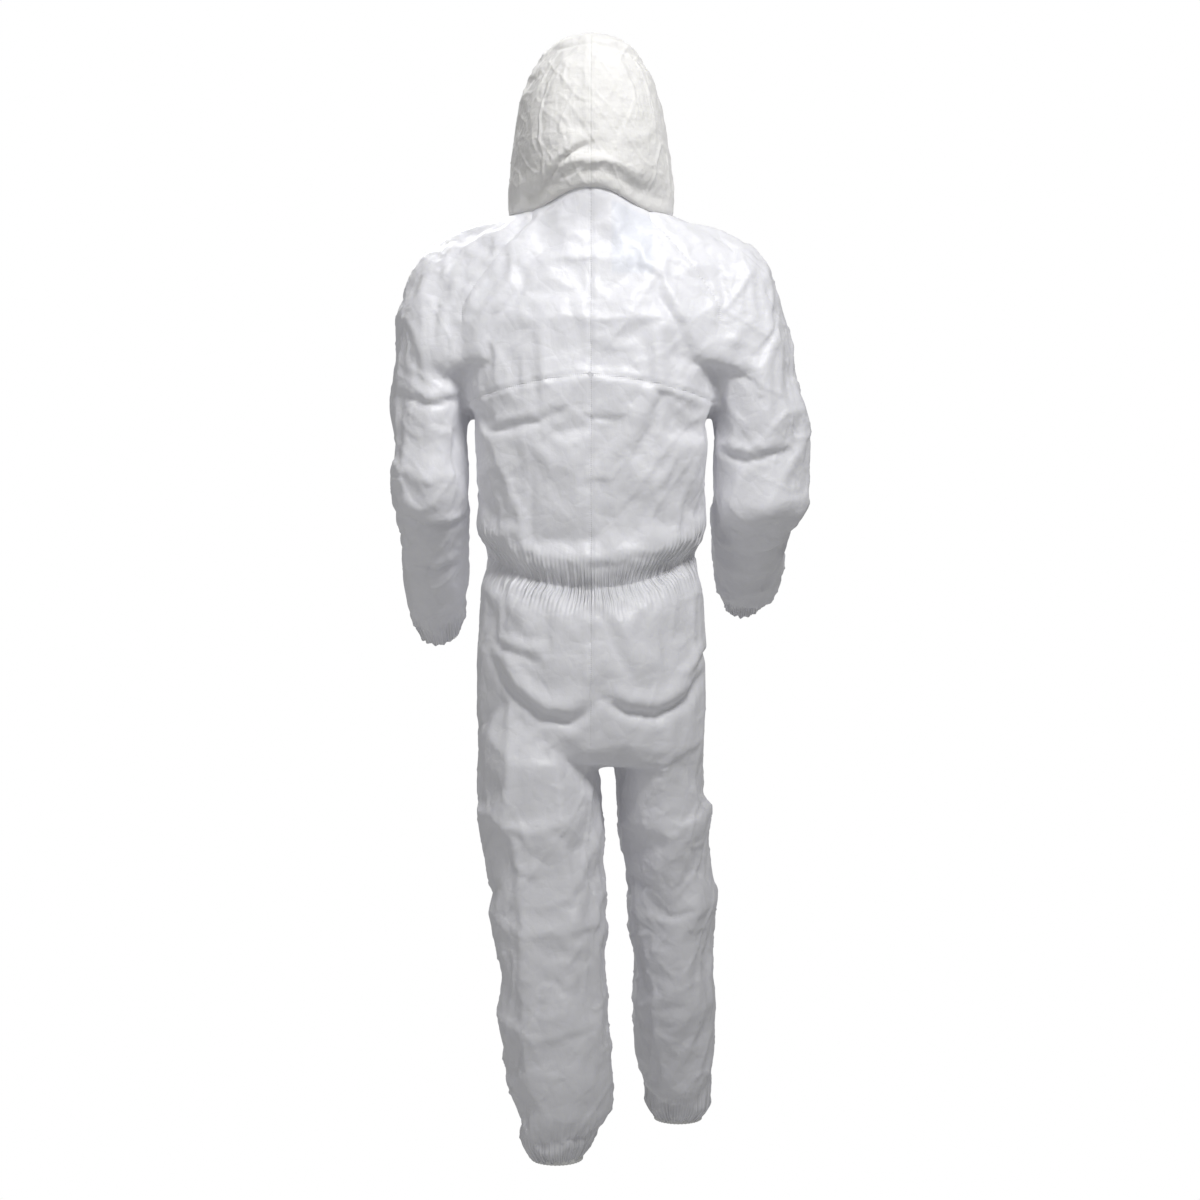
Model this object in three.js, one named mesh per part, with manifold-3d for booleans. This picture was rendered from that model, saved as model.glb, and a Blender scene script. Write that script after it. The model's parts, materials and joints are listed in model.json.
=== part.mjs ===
// Hooded protective coverall, standing as worn: hood up, forearms forward, left leg back, right leg forward.
// Millimetres. +Z up, -Y is the wearer's front, +X the wearer's left.
// Heights below are measured from the ankle hems; the whole suit is then set down so that the nape is at z = 0.
import * as THREE from "three";
import { mergeVertices } from "three/addons/utils/BufferGeometryUtils.js";
import Module from "manifold-3d";

const wasm = await Module();
wasm.setup();

// ---------------------------------------------------------------- driving dimensions
const NAPE_HEIGHT = 1488; // ankle hems to the neck seam
const CLOTH = 3; // wall of every cloth shell
const SEAM_GAP = 0.4; // clearance between pieces sewn to each other
const JOINT_GAP = 0.6; // clearance between pieces that turn past each other

const CHEST_HALF_WIDTH = 199; // side of the body at the armholes
const WAIST_HALF_WIDTH = 166;
const HIP_HALF_WIDTH = 186;
const FRONT_DEPTH = 128; // centre plane of the body to the flat front that carries the zip
const WAIST_HEIGHT = 905;
const YOKE_HEIGHT = NAPE_HEIGHT - 316;
const CROTCH_HEIGHT = 610;

const HIP_HEIGHT = 800;
const HIP_RADIUS = HIP_HEIGHT - CROTCH_HEIGHT; // the seat stays inside this radius about the hip line
const STRIDE = 120; // each hem's distance forward or back of the hips
const KNEE_HEIGHT = 380;
const KNEE_RADIUS = 140;
const HEM_RADIUS = 40;

const ARMHOLE_HEIGHT = NAPE_HEIGHT - 176; // middle of the armhole
const ARMHOLE_TALL = 140; // half of its height
const ARMHOLE_DEEP = 85; // half of its depth
const ELBOW_HEIGHT = NAPE_HEIGHT - 448;
const ELBOW_RADIUS = 112;
const FOREARM_LENGTH = 292;
const LEFT_FOREARM_ANGLE = 37; // degrees forward of straight down
const RIGHT_FOREARM_ANGLE = 51;
const CUFF_RADIUS = 34;
const SLEEVE_DEEP = 72; // half of the upper sleeve's depth at the elbow

const HOOD_HEIGHT = 272; // neck seam to crown
const HOOD_HALF_WIDTH = 134;
const HOOD_DEEP = 126; // half of its depth
const NAPE_DEPTH = 84; // back of the hood's lower edge
const FACE_HALF_WIDTH = 84;
const FACE_HALF_HEIGHT = 98;
const FACE_MIDDLE = 132; // middle of the face opening above the neck seam

const ZIP_BOTTOM = 692;
const ZIP_TOP = NAPE_HEIGHT - 46;
const ZIP_SLOT = 14; // half width of the slit between the fronts
const TEETH_IN = 0.8; // half of the slit between the two rows of teeth
const TEETH_OUT = 3.5;
const TEETH_PROUD = 1.5; // half of the rows' thickness
const TAPE_THICK = 2;
const SLIDER_LONG = 13;
const SLIDER_HALF_WIDTH = 5;
const SLIDER_PLATE = 1.2;
const PULL_LONG = 17;
const PULL_WIDE = 5;
const PULL_THICK = 1.2;
const FLAP_HALF_WIDTH = 24;
const FLAP_RISE = 10.5; // how far the closed flap stands off the zip
const FLAP_THICK = 1.2;
const FLAP_SLOPE = 7; // width of each side that slopes up to the flap's raised middle
const STRIP_WIDE = 7; // adhesive strip on the flap's free edge
const STRIP_THICK = 0.6;

const ELASTIC_THICK = 2;
const ELASTIC_WIDE = 14;
const FACE_ELASTIC_WIDE = 8;
const LABEL = { wide: 62, tall: 96, fromCentre: 34, below: 26, thick: 0.8 };

const BODY_SIDES = 24;
const LIMB_SIDES = 16;
const ROLLER_SIDES = 44;
const FAR = 2500; // reach of the half-spaces that trim the shells

const COLOURS = {
  laminate: new THREE.Color("#eef0f4"),
  hood: new THREE.Color("#e6e6e2"),
  elastic: new THREE.Color("#f4f2ec"),
  zip: new THREE.Color("#f6f6f4"),
  label: new THREE.Color("#c9d3e4"),
  adhesive: new THREE.Color("#dfe3df"),
};

// ---------------------------------------------------------------- solids
const vec = (x, y, z) => new THREE.Vector3(x, y, z);
const radians = THREE.MathUtils.degToRad;

function toSolid(geometry) {
  const bare = geometry.clone();
  bare.deleteAttribute("normal");
  bare.deleteAttribute("uv");
  const merged = mergeVertices(bare, 1e-4);
  return new wasm.Manifold(
    new wasm.Mesh({
      numProp: 3,
      vertProperties: Float32Array.from(merged.attributes.position.array),
      triVerts: Uint32Array.from(merged.index.array),
    }),
  );
}

function toGeometry(solid) {
  const mesh = solid.getMesh();
  const geometry = new THREE.BufferGeometry();
  geometry.setAttribute("position", new THREE.BufferAttribute(mesh.vertProperties, 3));
  geometry.setIndex(new THREE.BufferAttribute(mesh.triVerts, 1));
  geometry.computeVertexNormals();
  return geometry;
}

function block(low, high) {
  const geometry = new THREE.BoxGeometry(high[0] - low[0], high[1] - low[1], high[2] - low[2]);
  geometry.translate((high[0] + low[0]) / 2, (high[1] + low[1]) / 2, (high[2] + low[2]) / 2);
  return toSolid(geometry);
}

// A cylinder lying along X.
function roller(radius, y, z) {
  const geometry = new THREE.CylinderGeometry(radius, radius, 2 * FAR, ROLLER_SIDES);
  geometry.rotateZ(Math.PI / 2);
  geometry.translate(0, y, z);
  return toSolid(geometry);
}

// A ring of points: centre plus two half axes, drawn in by inset. The front half may be deeper than the back,
// and a square above 2 fills the ellipse out towards its corners.
function ring(section, inset, sides) {
  const { centre, across, back, front = back, square = 2 } = section;
  const points = [];
  for (let i = 0; i < sides; i += 1) {
    const turn = (2 * Math.PI * i) / sides;
    const deep = Math.sin(turn) < 0 ? front : back;
    const fill = (share) => Math.sign(share) * Math.abs(share) ** (2 / square);
    const point = centre.clone();
    point.addScaledVector(across, fill(Math.cos(turn)) * (1 - inset / across.length()));
    point.addScaledVector(deep, fill(Math.sin(turn)) * (1 - inset / deep.length()));
    points.push(point);
  }
  return points;
}

// A closed solid through a stack of rings, capped at both ends.
function loft(rings) {
  const sides = rings[0].length;
  const middle = (points) => points.reduce((sum, p) => sum.add(p), vec(0, 0, 0)).divideScalar(sides);
  const points = rings.flat();
  const bottom = points.push(middle(rings[0])) - 1;
  const top = points.push(middle(rings.at(-1))) - 1;
  const last = (rings.length - 1) * sides;
  const faces = [];
  for (let i = 0; i < sides; i += 1) {
    const next = (i + 1) % sides;
    for (let level = 0; level < rings.length - 1; level += 1) {
      const low = level * sides;
      const high = low + sides;
      faces.push(low + i, low + next, high + next, low + i, high + next, high + i);
    }
    faces.push(bottom, next, i, top, last + i, last + next);
  }
  const geometry = new THREE.BufferGeometry().setFromPoints(points);
  geometry.setIndex(faces);
  return toSolid(geometry);
}

// The layer between two insets of a tube of sections, open at the ends that are pushed past.
function layer(sections, outer, inner, sides, open = [true, true]) {
  const hollow = sections.map((section) => ({ ...section, centre: section.centre.clone() }));
  const axisAt = (a, b) => b.centre.clone().sub(a.centre).normalize();
  if (open[0]) hollow[0].centre.sub(axisAt(sections[0], sections[1]));
  const past = open[1] ? 1 : outer - inner;
  hollow.at(-1).centre.addScaledVector(axisAt(sections.at(-2), sections.at(-1)), past);
  const outside = loft(sections.map((section) => ring(section, outer, sides)));
  const inside = loft(hollow.map((section) => ring(section, inner, sides)));
  return outside.subtract(inside);
}

function level(height, halfWidth, back, front = back, x = 0, y = 0) {
  return {
    centre: vec(x, y, height),
    across: vec(halfWidth, 0, 0),
    back: vec(0, back, 0),
    front: vec(0, front, 0),
  };
}

// ---------------------------------------------------------------- body of the suit
const backHeight = (share) => THREE.MathUtils.lerp(WAIST_HEIGHT, YOKE_HEIGHT, share);

const torsoSections = [
  level(CROTCH_HEIGHT - 30, HIP_HALF_WIDTH - 8, 128, FRONT_DEPTH - 6),
  level(690, HIP_HALF_WIDTH - 2, 143, FRONT_DEPTH),
  level(772, HIP_HALF_WIDTH, 150, FRONT_DEPTH),
  level(850, HIP_HALF_WIDTH - 9, 137, FRONT_DEPTH),
  level(WAIST_HEIGHT, WAIST_HALF_WIDTH, 119, FRONT_DEPTH),
  level(backHeight(0.28), WAIST_HALF_WIDTH + 9, 128, FRONT_DEPTH),
  { ...level(backHeight(0.66), CHEST_HALF_WIDTH - 11, 140, FRONT_DEPTH), square: 2.3 },
  { ...level(YOKE_HEIGHT + 18, CHEST_HALF_WIDTH - 1, 148, FRONT_DEPTH), square: 2.7 },
  { ...level(NAPE_HEIGHT - 188, CHEST_HALF_WIDTH, 142, FRONT_DEPTH), square: 3.1 },
  { ...level(NAPE_HEIGHT - 88, CHEST_HALF_WIDTH, 114, FRONT_DEPTH), square: 3.1 },
  { ...level(ZIP_TOP, CHEST_HALF_WIDTH, 92, FRONT_DEPTH), square: 2.5 },
  level(NAPE_HEIGHT - 34, CHEST_HALF_WIDTH - 10, 87, FRONT_DEPTH - 4),
  level(NAPE_HEIGHT - 16, 142, 79, FRONT_DEPTH - 10),
  level(NAPE_HEIGHT, 92, 72, FRONT_DEPTH - 18),
];

function armholeCutter() {
  const geometry = new THREE.CylinderGeometry(1, 1, 2 * FAR, 32);
  geometry.rotateZ(Math.PI / 2);
  geometry.scale(1, ARMHOLE_DEEP - CLOTH, ARMHOLE_TALL - CLOTH);
  geometry.translate(0, 0, ARMHOLE_HEIGHT);
  return toSolid(geometry).subtract(block([-150, -FAR, -FAR], [150, FAR, FAR]));
}

const zipSlot = block([-ZIP_SLOT, -FAR, ZIP_BOTTOM - 4], [ZIP_SLOT, 0, ZIP_TOP + 4]);
const hipRoller = roller(HIP_RADIUS, 0, HIP_HEIGHT);
const aboveHip = block([-FAR, -FAR, HIP_HEIGHT], [FAR, FAR, FAR]);
const bodyShell = layer(torsoSections, 0, CLOTH, BODY_SIDES)
  .intersect(aboveHip.add(hipRoller))
  .subtract(armholeCutter())
  .subtract(zipSlot);

const HALF_SEAM = SEAM_GAP / 2;

// One panel of the body: the shell's share of a box, with half a seam left on every inner side.
function bodyPanel(side, front, low, high) {
  const x = side > 0 ? [HALF_SEAM, FAR] : [-FAR, -HALF_SEAM];
  const y = front ? [-FAR, -HALF_SEAM] : [HALF_SEAM, FAR];
  return bodyShell.intersect(block([x[0], y[0], low], [x[1], y[1], high]));
}

// A thin layer lying on the inside of the back.
function backLining(thick, low, high, xLow, xHigh) {
  const start = CLOTH + SEAM_GAP;
  const lining = layer(torsoSections, start, start + thick, BODY_SIDES);
  return lining.intersect(block([xLow, HALF_SEAM, low], [xHigh, FAR, high]));
}

// The strip between the legs: a length of the hip roller's underside.
function crotchGusset() {
  const outer = roller(HIP_RADIUS - SEAM_GAP, 0, HIP_HEIGHT);
  const inner = roller(HIP_RADIUS - SEAM_GAP - CLOTH, 0, HIP_HEIGHT);
  const room = loft(torsoSections.map((section) => ring(section, CLOTH + SEAM_GAP, BODY_SIDES)));
  const halfWidth = 26;
  const middle = -12;
  const strip = block([middle - halfWidth, -FAR, 0], [middle + halfWidth, FAR, HIP_HEIGHT - 60]);
  return outer.subtract(inner).intersect(strip).intersect(room);
}

const neckSections = [
  level(NAPE_HEIGHT + SEAM_GAP, 90, 70, FRONT_DEPTH - 21),
  level(NAPE_HEIGHT + 24, 84, 66, FRONT_DEPTH - 25),
];

// ---------------------------------------------------------------- zip and storm flap
function mirrored(solid) {
  return solid.mirror([1, 0, 0]);
}

function zipTape() {
  const inner = TEETH_OUT + SEAM_GAP;
  const face = -FRONT_DEPTH + 0.5;
  return block([inner, face, ZIP_BOTTOM], [ZIP_SLOT - SEAM_GAP, face + TAPE_THICK, ZIP_TOP]);
}

function zipTeeth() {
  const low = ZIP_BOTTOM + 4;
  return block([TEETH_IN, -FRONT_DEPTH - TEETH_PROUD, low], [TEETH_OUT, -FRONT_DEPTH + TEETH_PROUD, ZIP_TOP - 3]);
}

function zipTopStop() {
  return block([TEETH_IN, -FRONT_DEPTH - 1.8, ZIP_TOP - 3 + SEAM_GAP], [TEETH_OUT, -FRONT_DEPTH + 1.8, ZIP_TOP + 1]);
}

function zipBottomStop() {
  const wide = TEETH_OUT;
  return block([-wide, -FRONT_DEPTH - 1.8, ZIP_BOTTOM], [wide, -FRONT_DEPTH + 1.8, ZIP_BOTTOM + 4 - SEAM_GAP]);
}

const SLIDER_TOP = ZIP_TOP - 4;
const SLIDER_FACE = -FRONT_DEPTH - TEETH_PROUD - SEAM_GAP;
const SLIDER_FRONT = SLIDER_FACE - SLIDER_PLATE;
const SLIDER_REAR = -FRONT_DEPTH + 0.5 + TAPE_THICK + SEAM_GAP;
const PULL_HINGE = SLIDER_TOP - 5;

// Two plates either side of the teeth, joined by a web in the slit, with a lug for the pull.
function zipSlider() {
  const low = SLIDER_TOP - SLIDER_LONG;
  const half = SLIDER_HALF_WIDTH;
  const web = TEETH_IN - SEAM_GAP;
  const face = block([-half, SLIDER_FRONT, low], [half, SLIDER_FACE, SLIDER_TOP]);
  const rear = block([-half, SLIDER_REAR, low], [half, SLIDER_REAR + SLIDER_PLATE, SLIDER_TOP]);
  const join = block([-web, SLIDER_FRONT, low], [web, SLIDER_REAR + SLIDER_PLATE, SLIDER_TOP]);
  const lug = block([-1.5, SLIDER_FRONT - 2.4, PULL_HINGE + 1.5], [1.5, SLIDER_FRONT, SLIDER_TOP]);
  return face.add(rear).add(join).add(lug);
}

// The pull hangs down the front of the slider from just under the lug.
function zipPull() {
  const outline = new THREE.Shape();
  const half = PULL_WIDE / 2;
  outline.moveTo(-half + 1, 1.2);
  outline.lineTo(half - 1, 1.2);
  outline.lineTo(half, -2);
  outline.lineTo(half, -PULL_LONG + half);
  outline.absarc(0, -PULL_LONG + half, half, 0, -Math.PI, true);
  outline.lineTo(-half, -2);
  const geometry = new THREE.ExtrudeGeometry(outline, {
    depth: PULL_THICK,
    bevelEnabled: false,
    curveSegments: 6,
  });
  geometry.rotateX(Math.PI / 2);
  geometry.translate(0, SLIDER_FRONT - SEAM_GAP, PULL_HINGE);
  return toSolid(geometry);
}

// Seen from above: flat edges on the fronts and a raised middle that clears the slider.
const FLAP_LOW = ZIP_BOTTOM - 6;
const FLAP_HIGH = ZIP_TOP + 4;
const FLAP_BASE = -FRONT_DEPTH - STRIP_THICK - 2 * SEAM_GAP;

function upright(outline, low, high) {
  const geometry = new THREE.ExtrudeGeometry(outline, { depth: high - low, bevelEnabled: false });
  geometry.translate(0, 0, low);
  return toSolid(geometry);
}

function stormFlap() {
  const half = FLAP_HALF_WIDTH;
  const edge = half - STRIP_WIDE - 1;
  const rise = -FRONT_DEPTH - FLAP_RISE;
  const shoulder = edge - FLAP_SLOPE;
  const outline = new THREE.Shape([
    new THREE.Vector2(-half, FLAP_BASE),
    new THREE.Vector2(-half, FLAP_BASE - FLAP_THICK),
    new THREE.Vector2(-edge, FLAP_BASE - FLAP_THICK),
    new THREE.Vector2(-shoulder, rise - FLAP_THICK),
    new THREE.Vector2(shoulder, rise - FLAP_THICK),
    new THREE.Vector2(edge, FLAP_BASE - FLAP_THICK),
    new THREE.Vector2(half, FLAP_BASE - FLAP_THICK),
    new THREE.Vector2(half, FLAP_BASE),
    new THREE.Vector2(edge + 1, FLAP_BASE),
    new THREE.Vector2(shoulder, rise),
    new THREE.Vector2(-shoulder, rise),
    new THREE.Vector2(-edge - 1, FLAP_BASE),
  ]);
  return upright(outline, FLAP_LOW, FLAP_HIGH);
}

function flapStrip() {
  const x = -FLAP_HALF_WIDTH + 0.5;
  const y = FLAP_BASE + SEAM_GAP;
  return block([x, y, FLAP_LOW + 8], [x + STRIP_WIDE, y + STRIP_THICK, FLAP_HIGH - 8]);
}

// ---------------------------------------------------------------- hood
const hoodSections = [
  [0, 1.0, NAPE_DEPTH, 118],
  [28, 0.98, 110, 122],
  [80, 0.93, HOOD_DEEP, HOOD_DEEP],
  [122, 0.88, HOOD_DEEP + 3, HOOD_DEEP],
  [162, 0.815, HOOD_DEEP, HOOD_DEEP - 4],
  [202, 0.73, 116, 114],
  [236, 0.57, 96, 92],
  [258, 0.38, 66, 62],
  [HOOD_HEIGHT - 4, 0.18, 34, 30],
  [HOOD_HEIGHT, 0.05, 9, 8],
].map(([up, wide, back, front]) => level(NAPE_HEIGHT + 4 + up, HOOD_HALF_WIDTH * wide, back, front));

// The face opening, grown all round by reach.
function faceCutter(reach) {
  const geometry = new THREE.CylinderGeometry(1, 1, FAR, 32);
  geometry.scale(FACE_HALF_WIDTH + reach, 1, FACE_HALF_HEIGHT + reach);
  geometry.translate(0, -FAR / 2 - 20, NAPE_HEIGHT + FACE_MIDDLE);
  return toSolid(geometry);
}

const hoodShell = layer(hoodSections, 0, CLOTH, BODY_SIDES, [true, false]).subtract(faceCutter(0));

function hoodPanel(side) {
  const x = side > 0 ? [HALF_SEAM, FAR] : [-FAR, -HALF_SEAM];
  return hoodShell.intersect(block([x[0], -FAR, 0], [x[1], FAR, FAR]));
}

// A band lying on the inside of the hood round the face opening.
function faceElastic() {
  const start = CLOTH + SEAM_GAP;
  const lining = layer(hoodSections.slice(0, -2), start, start + ELASTIC_THICK, BODY_SIDES);
  return lining.intersect(faceCutter(FACE_ELASTIC_WIDE)).subtract(faceCutter(0));
}

// ---------------------------------------------------------------- sleeves
// A section through two opposite edges of the sleeve in the X-Z plane, given left-handed and turned by side.
function cut(side, [innerX, innerZ], [outerX, outerZ], deep) {
  return {
    centre: vec((side * (innerX + outerX)) / 2, 0, (innerZ + outerZ) / 2),
    across: vec((side * (outerX - innerX)) / 2, 0, (outerZ - innerZ) / 2),
    back: vec(0, deep, 0),
  };
}

// A section square to a limb that leans forward by angle, measured along it from a pivot.
function leaning(pivot, angle, along, x, halfWidth, deep) {
  const lean = radians(angle);
  const centre = vec(x, pivot.y - along * Math.sin(lean), pivot.z - along * Math.cos(lean));
  return {
    centre,
    across: vec(Math.sign(x) * halfWidth, 0, 0),
    back: vec(0, deep * Math.cos(lean), -deep * Math.sin(lean)),
  };
}

const ARMHOLE_PLANE = CHEST_HALF_WIDTH + JOINT_GAP + 0.9;
const SLEEVES = {
  left: { side: 1, angle: LEFT_FOREARM_ANGLE, elbowOut: 0, middle: ARMHOLE_PLANE + 53.5 },
  right: { side: -1, angle: RIGHT_FOREARM_ANGLE, elbowOut: 26, middle: ARMHOLE_PLANE + 59.5 },
};
const elbow = vec(0, 0, ELBOW_HEIGHT);

function sleeveSections({ side, angle, elbowOut, middle }) {
  const pit = ARMHOLE_HEIGHT - ARMHOLE_TALL;
  const top = ARMHOLE_HEIGHT + ARMHOLE_TALL;
  const inner = ARMHOLE_PLANE;
  const shoulder = [
    cut(side, [inner, pit], [inner, top], ARMHOLE_DEEP),
    cut(side, [inner + 0.5, pit - 4], [inner + 70, top - 36], ARMHOLE_DEEP - 1),
    cut(side, [inner + 1, pit - 8], [inner + 90, top - 74], ARMHOLE_DEEP - 3),
    cut(side, [inner + 1, pit - 12], [inner + 100, top - 119], ARMHOLE_DEEP - 5),
    cut(side, [inner + 1, pit - 20], [inner + 104 + elbowOut * 0.6, top - 199], ARMHOLE_DEEP - 7),
    cut(side, [inner + 1, pit - 48], [inner + 113 + elbowOut, top - 284], ARMHOLE_DEEP - 9),
  ];
  const x = side * middle;
  const half = middle - inner - 1;
  const bend = [
    leaning(elbow, 0, -62, side * (middle + elbowOut * 0.35), half + 7 + elbowOut * 0.3, SLEEVE_DEEP),
    leaning(elbow, angle / 2, 0, side * (middle + elbowOut * 0.3), half + 6 + elbowOut * 0.25, SLEEVE_DEEP - 2),
    leaning(elbow, angle, 58, side * (middle + elbowOut * 0.1), half + 2, SLEEVE_DEEP - 7),
  ];
  const forearm = [
    leaning(elbow, angle, 130, x, half - 1, 58),
    leaning(elbow, angle, 195, x, half - 3, 53),
    leaning(elbow, angle, 245, x, half - 7, 47),
    leaning(elbow, angle, FOREARM_LENGTH - 20, x, CUFF_RADIUS + 3, CUFF_RADIUS + 3),
    leaning(elbow, angle, FOREARM_LENGTH, x, CUFF_RADIUS, CUFF_RADIUS),
  ];
  return [...shoulder, ...bend, ...forearm];
}

// The shell of a limb whose sections are stacked from its top down.
function limbShell(sections, inset, wall) {
  return layer(sections, inset, inset + wall, LIMB_SIDES);
}

// A limb is parted on a roller about its joint: the upper piece keeps what lies inside it.
function partAt(shell, pivotY, pivotZ, radius, below) {
  const lower = below.subtract(roller(radius + JOINT_GAP, pivotY, pivotZ));
  const upper = below.subtract(roller(radius, pivotY, pivotZ));
  return [shell.subtract(upper), shell.intersect(lower)];
}

// A band of elastic inside the end of a limb, from the last two sections.
function endElastic(sections) {
  const [before, end] = sections.slice(-2);
  const share = ELASTIC_WIDE / end.centre.distanceTo(before.centre);
  const start = {
    centre: end.centre.clone().lerp(before.centre, share),
    across: end.across.clone().lerp(before.across, share),
    back: end.back.clone().lerp(before.back, share),
  };
  const clear = CLOTH + SEAM_GAP;
  return layer([start, end], clear, clear + ELASTIC_THICK, LIMB_SIDES);
}

function sleevePieces(name) {
  const sections = sleeveSections(SLEEVES[name]);
  const below = block([-FAR, -FAR, -FAR], [FAR, FAR, ELBOW_HEIGHT]);
  const ordered = SLEEVES[name].side > 0 ? sections.map(turned) : sections;
  const [upper, lower] = partAt(limbShell(ordered, 0, CLOTH), 0, ELBOW_HEIGHT, ELBOW_RADIUS, below);
  return { upper, lower, elastic: endElastic(ordered) };
}

// The same section with its ring running the other way round, for a stack that runs down.
function turned(section) {
  return { ...section, across: section.across.clone().negate() };
}

// ---------------------------------------------------------------- legs
// Each row: height, x of the middle, half width, half depth.
const LEGS = {
  left: {
    lean: 1,
    rows: [
      [CROTCH_HEIGHT + 60, 92, 86, 118],
      [570, 80, 92, 106],
      [487, 75, 90, 96],
      [KNEE_HEIGHT, 67, 83, 88],
      [232, 56, 81, 84],
      [118, 47, 79, 80],
      [70, 45, 70, 70],
      [26, 50, 50, 50],
      [0, 54, HEM_RADIUS, HEM_RADIUS],
    ],
  },
  right: {
    lean: -1,
    rows: [
      [CROTCH_HEIGHT + 60, -108, 68, 122],
      [570, -112, 66, 112],
      [487, -122, 65, 104],
      [KNEE_HEIGHT, -132, 66, 100],
      [232, -136, 62, 97],
      [118, -138, 60, 92],
      [66, -140, 57, 78],
      [24, -143, 49, 55],
      [0, -145, HEM_RADIUS, HEM_RADIUS],
    ],
  },
};

const legMiddle = (lean, height) => lean * STRIDE * (1 - height / HIP_HEIGHT);

function legPieces(name) {
  const { lean, rows } = LEGS[name];
  const sections = rows.map(([height, x, wide, deep]) => level(height, wide, deep, deep, x, legMiddle(lean, height)));
  const ordered = sections.map(turned);
  const shell = limbShell(ordered, 0, CLOTH).subtract(roller(HIP_RADIUS + JOINT_GAP, 0, HIP_HEIGHT));
  const below = block([-FAR, -FAR, -FAR], [FAR, FAR, KNEE_HEIGHT]);
  const knee = legMiddle(lean, KNEE_HEIGHT);
  const [upper, lower] = partAt(shell, knee, KNEE_HEIGHT, KNEE_RADIUS, below);
  return { upper, lower, elastic: endElastic(ordered) };
}

// ---------------------------------------------------------------- assembly
const suit = new THREE.Group();
suit.position.set(0, 0, -NAPE_HEIGHT);

function place(name, solid, colour, roughness) {
  const material = new THREE.MeshStandardMaterial({ color: COLOURS[colour], roughness, metalness: 0 });
  const mesh = new THREE.Mesh(toGeometry(solid), material);
  mesh.name = name;
  suit.add(mesh);
}

const SIDES = { left: 1, right: -1 };
for (const [name, side] of Object.entries(SIDES)) {
  place(`front_${name}_panel`, bodyPanel(side, true, 0, FAR), "laminate", 0.6);
  place(`yoke_${name}_panel`, bodyPanel(side, false, YOKE_HEIGHT + HALF_SEAM, FAR), "laminate", 0.6);
  const lowerBack = bodyPanel(side, false, WAIST_HEIGHT + HALF_SEAM, YOKE_HEIGHT - HALF_SEAM);
  place(`lower_back_${name}_panel`, lowerBack, "laminate", 0.6);
  place(`seat_${name}_panel`, bodyPanel(side, false, 0, WAIST_HEIGHT - HALF_SEAM), "laminate", 0.6);
  place(`hood_${name}_panel`, hoodPanel(side), "hood", 0.85);

  const sleeve = sleevePieces(name);
  place(`${name}_upper_sleeve`, sleeve.upper, "laminate", 0.6);
  place(`${name}_forearm_sleeve`, sleeve.lower, "laminate", 0.6);
  place(`${name}_wrist_elastic`, sleeve.elastic, "elastic", 0.8);

  const leg = legPieces(name);
  place(`${name}_thigh`, leg.upper, "laminate", 0.6);
  place(`${name}_shin`, leg.lower, "laminate", 0.6);
  place(`${name}_ankle_elastic`, leg.elastic, "elastic", 0.8);

  const sided = (solid) => (side > 0 ? solid : mirrored(solid));
  place(`zip_tape_${name}`, sided(zipTape()), "zip", 0.7);
  place(`zip_teeth_${name}`, sided(zipTeeth()), "zip", 0.4);
  place(`zip_top_stop_${name}`, sided(zipTopStop()), "zip", 0.4);
}

const halfBand = ELASTIC_WIDE / 2;
const bandLow = WAIST_HEIGHT - halfBand;
place("waist_elastic", backLining(ELASTIC_THICK, bandLow, bandLow + ELASTIC_WIDE, -FAR, FAR), "elastic", 0.8);
const labelTop = NAPE_HEIGHT - LABEL.below;
const labelInner = -LABEL.fromCentre;
const label = backLining(LABEL.thick, labelTop - LABEL.tall, labelTop, labelInner - LABEL.wide, labelInner);
place("size_label", label, "label", 0.5);
place("crotch_gusset", crotchGusset(), "laminate", 0.6);
place("neck_band", layer(neckSections, 0, CLOTH, BODY_SIDES), "laminate", 0.6);
place("face_elastic", faceElastic(), "elastic", 0.8);
place("zip_bottom_stop", zipBottomStop(), "zip", 0.4);
place("zip_slider", zipSlider(), "zip", 0.4);
place("zip_pull", zipPull(), "zip", 0.4);
place("storm_flap", stormFlap(), "laminate", 0.6);
place("flap_adhesive_strip", flapStrip(), "adhesive", 0.3);

const group = new THREE.Group();
group.add(suit);

export default group;
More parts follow.
